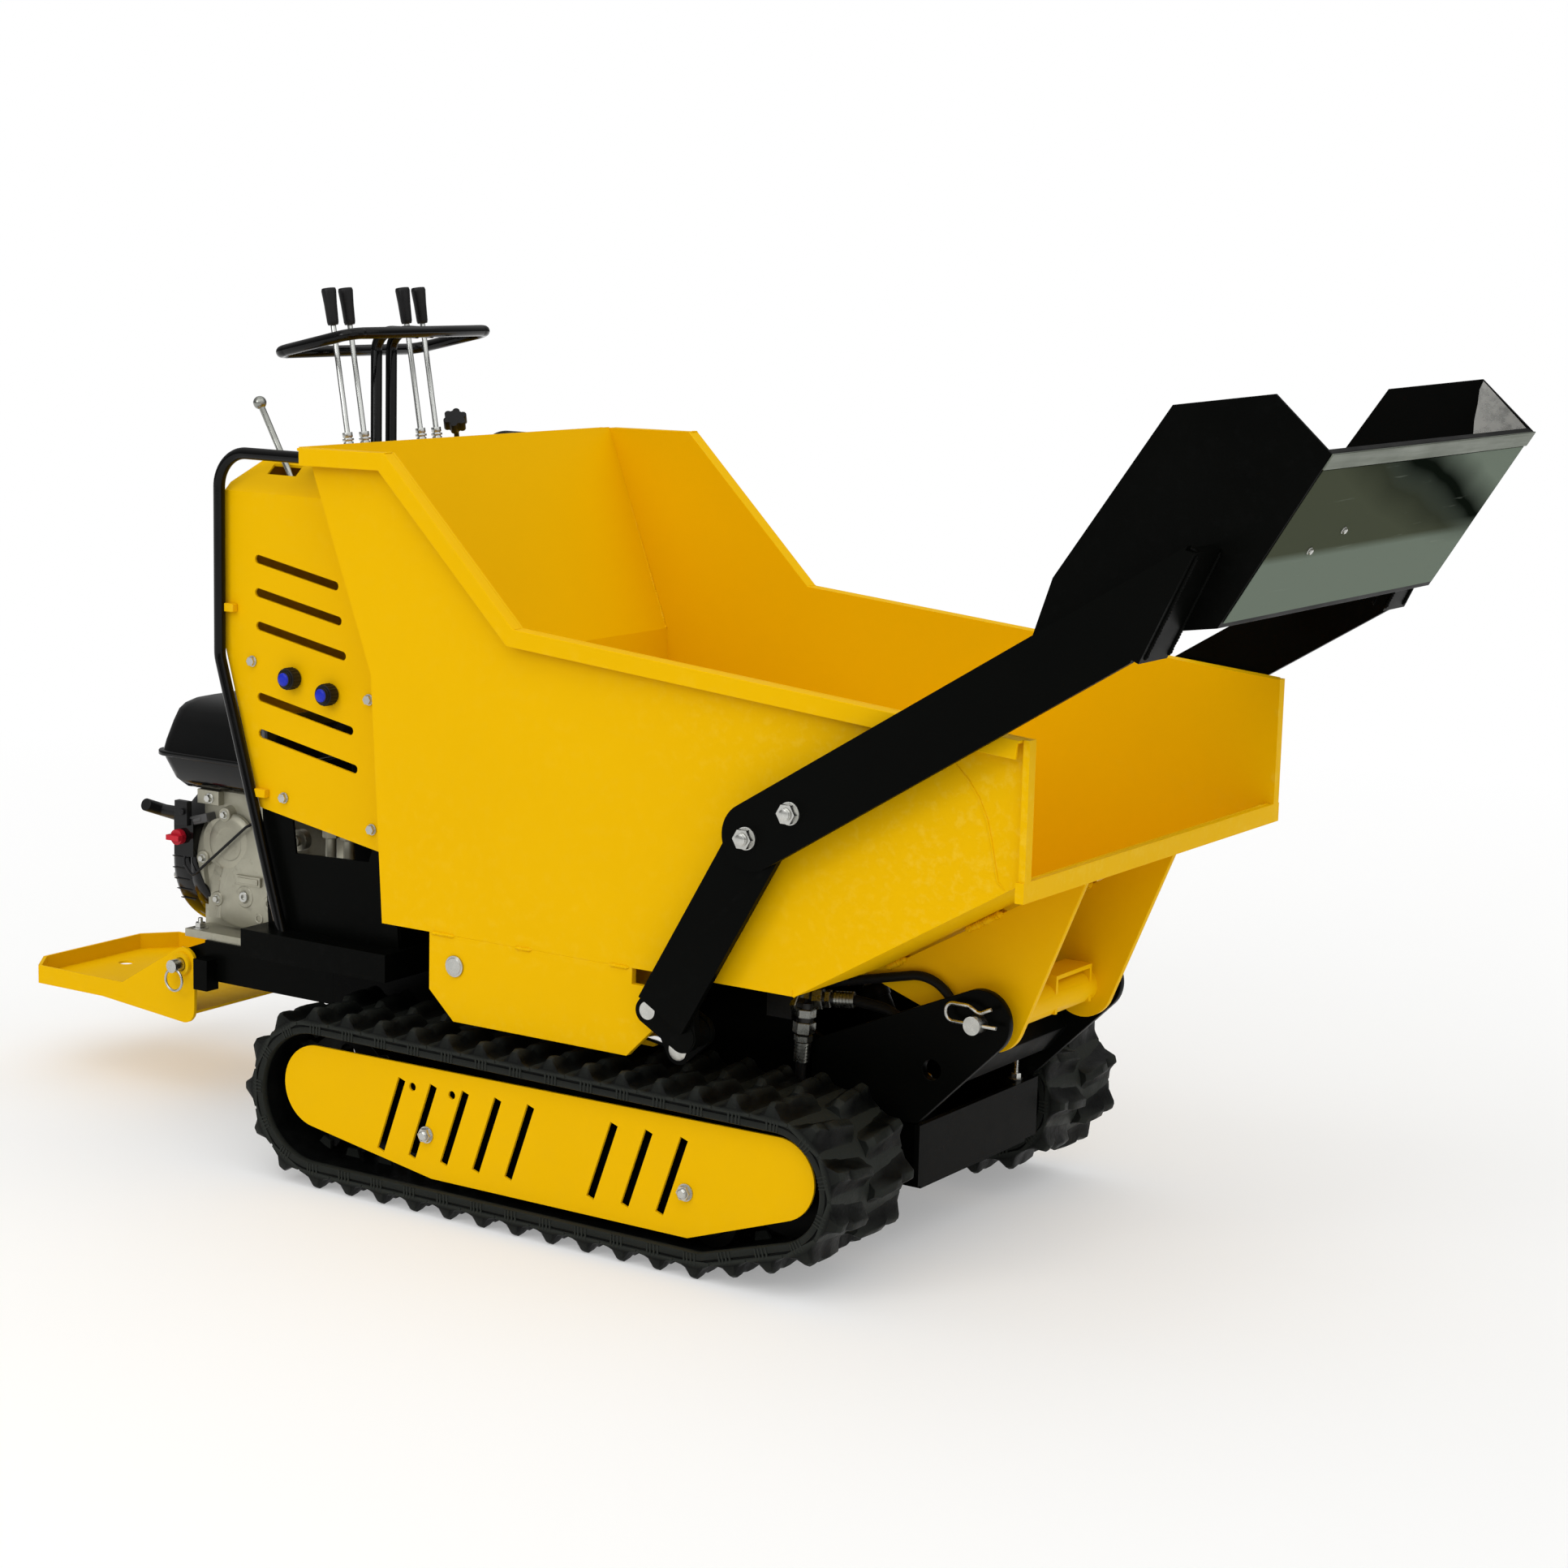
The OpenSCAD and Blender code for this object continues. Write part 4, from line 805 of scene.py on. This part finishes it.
# the feet are cut level on the engine base
cut = bmesh.ops.bisect_plane(bm, geom=bm.verts[:] + bm.edges[:] + bm.faces[:],
                             plane_co=P(0, 0, BASE_TOP), plane_no=Z_AXIS, clear_inner=True)
bmesh.ops.holes_fill(bm, edges=[g for g in cut["geom_cut"] if isinstance(g, bmesh.types.BMEdge)])
guard = piece("guard_tubes", bm, "gloss_black", "chassis", 40)
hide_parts("tube_frame")
bm = bmesh.new()
for e in SIDES:
    for x0, x1, z in ((-629, -600, 800), (-576, -540, 535)):
        block(bm, (x0, e * HOOD_SIDE, z), (x1, e * GUARD_Y, z + 12))
piece("guard_stubs", bm, "yellow", "chassis", 34, 0.001)

PIPE_FOOT, PIPE_Y = 599, -240
bm = bmesh.new()
for y in (-96, -60, 60, 96):
    for dx in (0, 34):
        x, y_pipe = -456 + dx, y + dx * 0.3
        pts = [(x, PIPE_FOOT), (x, 850), (x - 14, 880), (-505 + dx * 0.6, 905),
               (-520 + dx * 0.5, 921)]
        tube(bm, [P(u, y_pipe, z) for u, z in route(pts, 24)], 6.5, 14)
        turned(bm, P(x, y_pipe, PIPE_FOOT), Z_AXIS, nut(11, 15), 6)
for x in (-466, -432):
    tube(bm, [P(x, PIPE_Y, z) for z in (346, 400, 470, 540)], 8, 16)
    turned(bm, P(x, PIPE_Y, 478), Z_AXIS, nut(11, 14), 6)
turned(bm, P(-528, PIPE_Y, 466), NEAR, [(16, -10), (16, 2), (13, 4), (8, 4), (8, 10), (0, 10)], 24)
piece("valve_pipes", bm, "alloy", "chassis", 40)

# engine

CRANK_Z = 371
FAN_R = 115


def off_crank(x, r, w):
    """A point at a radius and an angle about the crankshaft."""
    return P(x, r * math.cos(w), CRANK_Z + r * math.sin(w))


def rounded(outline):
    """A smooth closed curve through points, with four steps between each two."""
    n, out = len(outline), []
    for i in range(n):
        p0, p1, p2, p3 = (Vector(outline[(i + k - 1) % n]) for k in range(4))
        for t in (0, 0.25, 0.5, 0.75):
            out.append(0.5 * (2 * p1 + (p2 - p0) * t + (2 * p0 - 5 * p1 + 4 * p2 - p3) * t * t
                              + (3 * p1 - p0 - 3 * p2 + p3) * t ** 3))
    return out


def cover(bm, outline, y0, y1, inset):
    """A cast cover: an outline in x and z between two y, drawn in at its outer face."""
    cx, cz = (sum(p[k] for p in outline) / len(outline) for k in (0, 1))
    fine, deep = rounded(outline), y0 - y1
    steps = ((1.0, y0), (1.0, y1 + deep * 0.45), (1 - inset * 0.3, y1 + deep * 0.12),
             (1 - inset, y1), (0.2, y1 - deep * 0.12))
    skin(bm, [[bm.verts.new(P(cx + (p.x - cx) * f, y, cz + (p.y - cz) * f)) for p in fine]
              for f, y in steps])


CASE = [(-808, 296), (-806, 350), (-790, 392), (-766, 436), (-722, 438), (-698, 396), (-696, 330),
        (-702, 292), (-740, 280), (-784, 281)]
BOSSES = ((-838, 380, 13), (-808, 320, 12), (-700, 326, 13), (-792, 454, 12), (-722, 300, 9))
CRANK_COVER = [(47, 0), (47, 5), (44, 9), (37, 12), (26, 13), (25, 12.2), (3.6, 12.6), (3.4, 9),
               (0, 9)]
bm = bmesh.new()
turned(bm, P(-852, 0, CRANK_Z), X_AXIS, [(112, 0), (114, 2), (114, 15), (107, 19), (103, 34),
                                         (97, 50), (88, 62), (0, 62)], 72)
cover(bm, CASE, -94, -113, 0.08)
turned(bm, P(-783, -102, 409), NEAR, CRANK_COVER, 56)
turned(bm, P(-750, -112, 331), NEAR, [(19, -3), (18, 2), (16, 4), (10, 4), (9.4, 2.6), (0, 2.6)],
       36)
block(bm, (-764, -119, 350), (-715, -110, 365))
block(bm, (-760, -120.4, 353), (-719, -110, 362))
block(bm, (-850, -112, 466), (-806, -70, 488))
for x, z, r in BOSSES:
    turned(bm, P(x, -98, z), NEAR, [(r + 2, 0), (r, 5), (r, 15), (r - 1.5, 17), (r * 0.5, 17),
                                    (r * 0.45, 14), (0, 14)], 28)
tube(bm, [P(x, -108, z) for x, z in ((-806, 352), (-770, 344), (-716, 336))], 5, 12)
tube(bm, [P(x, -108, z) for x, z in ((-806, 290), (-800, 330), (-786, 362))], 6, 12)
for i in range(7):  # fins of the cylinder
    z = 372 + i * 13
    block(bm, (-842, 94, z), (-698, 176, z + 5))
piece("engine_castings", bm, "alloy", "chassis", 34, 0.0018)

DRAIN_PLUG = [(8, 0), (8.4, 0.6), (8.4, 4), (7.6, 5), (4, 5), (3.6, 2), (0, 2)]
bm = bmesh.new()
for x, z in ((-838, 380), (-808, 320), (-792, 454)):
    bolt(bm, P(x, -113, z), NEAR, 9, 5, 7)
bolt(bm, P(-824, -112, 476), NEAR, 11, 6, 8)
turned(bm, P(-750, -114, 331), NEAR, DRAIN_PLUG, 24)
for x in (-826, -714):
    for e in SIDES:
        bolt(bm, P(x, e * 132, 274), Z_AXIS, 15, 8, 12, 4)
for a in range(0, 360, 60):
    bolt(bm, off_crank(-900, 105, math.radians(a + 15)), BACK, 9, 5, 7)
piece("engine_bolts", bm, "steel", "chassis", 30)

CONTROL_ROD = ((-735, -112, 447), (-741, -121, 442), (-790, -123, 401), (-842, -124, 358),
               (-849, -124, 354), (-856, -124, 357), (-867, -123, 367), (-869, -122, 374),
               (-869, -118, 390))
bm = bmesh.new()
tube(bm, [P(*p) for p in CONTROL_ROD], 2.2, 10)
block(bm, (-884, -127, 430), (-858, -116, 468))
turned(bm, P(-866, -127, 452), NEAR, [(5, 0), (5, 4), (4, 5), (0, 5)], 20)
for a in range(150, 215, 9):  # ribs of the fan shroud
    rib = [off_crank(x, FAN_R + 0.6, math.radians(a)) for x in (-900, -896, -872, -868)]
    tube(bm, rib, swell(1.2, 0.6, 2, 28), 8)
piece("engine_links", bm, "plastic", "chassis", 34, 0.0012)

TANK_X, TANK_HALF = (-917, -664), 146
# sections of the tank: height, distance in from its rim and corner radius
TANK = ((488, 44, 12), (490, 34, 18), (503, 21, 24), (534, 9, 27), (538.6, 8, 27), (539, 1, 31),
        (540, 0, 32), (545.6, 0, 32), (546.6, 1, 31), (547, 7, 27), (562, 10, 27), (592, 18, 27),
        (610, 24, 27), (619, 31, 26), (626, 43, 24), (630, 60, 20), (631.5, 84, 14))
FILLER = [(27, 0), (26, 8), (22, 12), (20, 13), (20, 22), (0, 22)]
bm = bmesh.new()
rows = []
for z, inset, r in TANK:
    x0, x1, y = TANK_X[0] + inset + r, TANK_X[1] - inset - r, TANK_HALF - inset - r
    row = []
    for k, (cx, cy) in enumerate(((x1, y), (x0, y), (x0, -y), (x1, -y))):
        for i in range(9):
            w = math.radians(90 * k + 90 * i / 8)
            row.append(bm.verts.new(P(cx + r * math.cos(w), cy + r * math.sin(w), z)))
    rows.append(row)
skin(bm, rows)
turned(bm, P(-730, 40, 618), Z_AXIS, FILLER)
tank = piece("tank_shell", bm, "tank", "chassis", 50)
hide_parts("fuel_tank")

tilt = (P(-843, -110, 441), math.radians(-16), "Y")
bm = bmesh.new()
block(bm, (-864, -121, 434), (-822, -96, 448), tilt)
block(bm, (-852, -122.5, 437), (-834, -97, 445), tilt)
piece("engine_control", bm, "iron", "chassis", 34, 0.0024)

# lip of the fan shroud over the engine: degrees below the crankshaft, and x of its end
SHROUD_END = ((-8, -850), (0, -847), (8, -843), (15, -838), (22, -832), (30, -828), (38, -825),
              (45, -823), (52, -821), (56, -821))
bm = bmesh.new()
rows = []
for a, x1 in SHROUD_END:
    lip = ((-862, 112), (-862, 114.6), (-860, 116.4), (x1 - 2, 117), (x1, 115.6), (x1, 112))
    rows.append([bm.verts.new(off_crank(x, r, math.radians(180 + a))) for x, r in lip])
skin(bm, rows)
piece("shroud_band", bm, "tank", "chassis", 50)

bm = bmesh.new()
for r in (30, 46, 60):
    ring = [off_crank(-920 - (70 - r) * 0.02, r, w) for w in around(48) + [2 * math.pi]]
    tube(bm, ring, 1.8, 8, caps=False)
for w in around(24):
    tube(bm, [off_crank(-919.5, r, w) for r in (24, 40, 64)], 1.6, 8)
piece("fan_guard", bm, "plastic", "chassis", 40)

# platform hinge and front plate

HINGE_BOSS = [(18, 0), (18, 4), (16.5, 6.5), (11, 6.5), (10.6, 5), (10.6, 0)]
bm = bmesh.new()
for e in SIDES:
    turned(bm, P(-837, e * 159.5, 221), (0, e, 0), HINGE_BOSS, 36)
piece("platform_bosses", bm, "yellow", "platform", 34)

TAB_TOP = P(474, 130, 198)
THREADS = [(4 - 0.5 * (i % 2), 8 + i * 1.1) for i in range(20)]
bm = bmesh.new()
block(bm, (462, 116, 190), (485, 144, 198))
piece("front_tab", bm, "black", "chassis", 34, 0.0012)
bm = bmesh.new()
bolt(bm, TAB_TOP, Z_AXIS, 13, 7, 10)
turned(bm, TAB_TOP, Z_AXIS, [(4, 0)] + THREADS + [(3, 31), (0, 31)], 20)
piece("front_bolt", bm, "steel", "chassis", 30)

# stage

WHITE = (1, 1, 1, 1)
FLOOR_HALF = 14.0
GLOW_FROM, GLOW_TO, GLOW_NEAR = 1.6, 4.2, 0.3  # the floor fades to plain white further out
SKY_TOP = 0.8
SKY_LOW, SKY_HIGH = 0.14, 0.6
AIM = Vector((0, 0, 0.5))
LAMPS = (
    ("key", "SUN", (0.6, -4.6, 4.2), 0.95, {"angle": math.radians(60)}),
    ("front", "SUN", (5.0, -0.8, 2.6), 0.9, {"angle": math.radians(80)}),
    ("over", "SUN", (0.5, 1.0, 6.0), 0.8, {"angle": math.radians(90)}),
    ("soft", "AREA", (-1.4, -4.6, 2.8), 30, {"shape": "SQUARE", "size": 1.6}),
)


def make_floor():
    s = FLOOR_HALF
    me = bpy.data.meshes.new("floor")
    me.from_pydata([(-s, -s, 0), (s, -s, 0), (s, s, 0), (-s, s, 0)], [], [(0, 1, 2, 3)])
    t = Tree("floor_paint")
    t.out(t.mix(t.noise(0.7, 2), (0.90, 0.90, 0.89), (0.92, 0.92, 0.91)), 0.8, spec=0.15)
    far = t.new("ShaderNodeVectorMath", operation="LENGTH")
    t.put(far.inputs[0], t.pos)
    glow = t.new("ShaderNodeEmission")
    glow.inputs["Color"].default_value = WHITE
    blend = t.new("ShaderNodeMixShader")
    t.put(blend.inputs[0], t.ramp(far.outputs["Value"], GLOW_FROM, GLOW_TO, GLOW_NEAR, 1.0))
    t.put(blend.inputs[1], t.b.outputs[0])
    t.put(blend.inputs[2], glow.outputs[0])
    t.put(t.t.nodes["Material Output"].inputs["Surface"], blend.outputs[0])
    me.materials.append(t.m)
    link(bpy.data.objects.new("floor", me))


def make_world():
    """A white backdrop that casts a dimmer light on the machine, brighter from above."""
    w = bpy.data.worlds.new("studio")
    w.use_nodes = True
    nodes, links = w.node_tree.nodes, w.node_tree.links
    bg = nodes["Background"]
    bg.inputs["Color"].default_value = WHITE
    split = nodes.new("ShaderNodeSeparateXYZ")
    links.new(nodes.new("ShaderNodeTexCoord").outputs["Generated"], split.inputs[0])
    sky = nodes.new("ShaderNodeMapRange")
    links.new(split.outputs["Z"], sky.inputs["Value"])
    sky.inputs["From Max"].default_value = SKY_TOP
    sky.inputs["To Min"].default_value = SKY_LOW
    sky.inputs["To Max"].default_value = SKY_HIGH
    seen = nodes.new("ShaderNodeMapRange")
    links.new(nodes.new("ShaderNodeLightPath").outputs["Is Camera Ray"], seen.inputs["Value"])
    links.new(sky.outputs["Result"], seen.inputs["To Min"])
    links.new(seen.outputs["Result"], bg.inputs["Strength"])
    bpy.context.scene.world = w


def make_lamp(name, kind, pos, power, settings):
    la = bpy.data.lights.new(name, kind)
    la.energy = power
    for k, v in settings.items():
        setattr(la, k, v)
    ob = link(bpy.data.objects.new(name, la))
    ob.location = pos
    ob.rotation_euler = (AIM - Vector(pos)).to_track_quat("-Z", "Y").to_euler()


make_floor()
make_world()
for lamp in LAMPS:
    make_lamp(*lamp)
bpy.context.scene.view_settings.view_transform = "Standard"
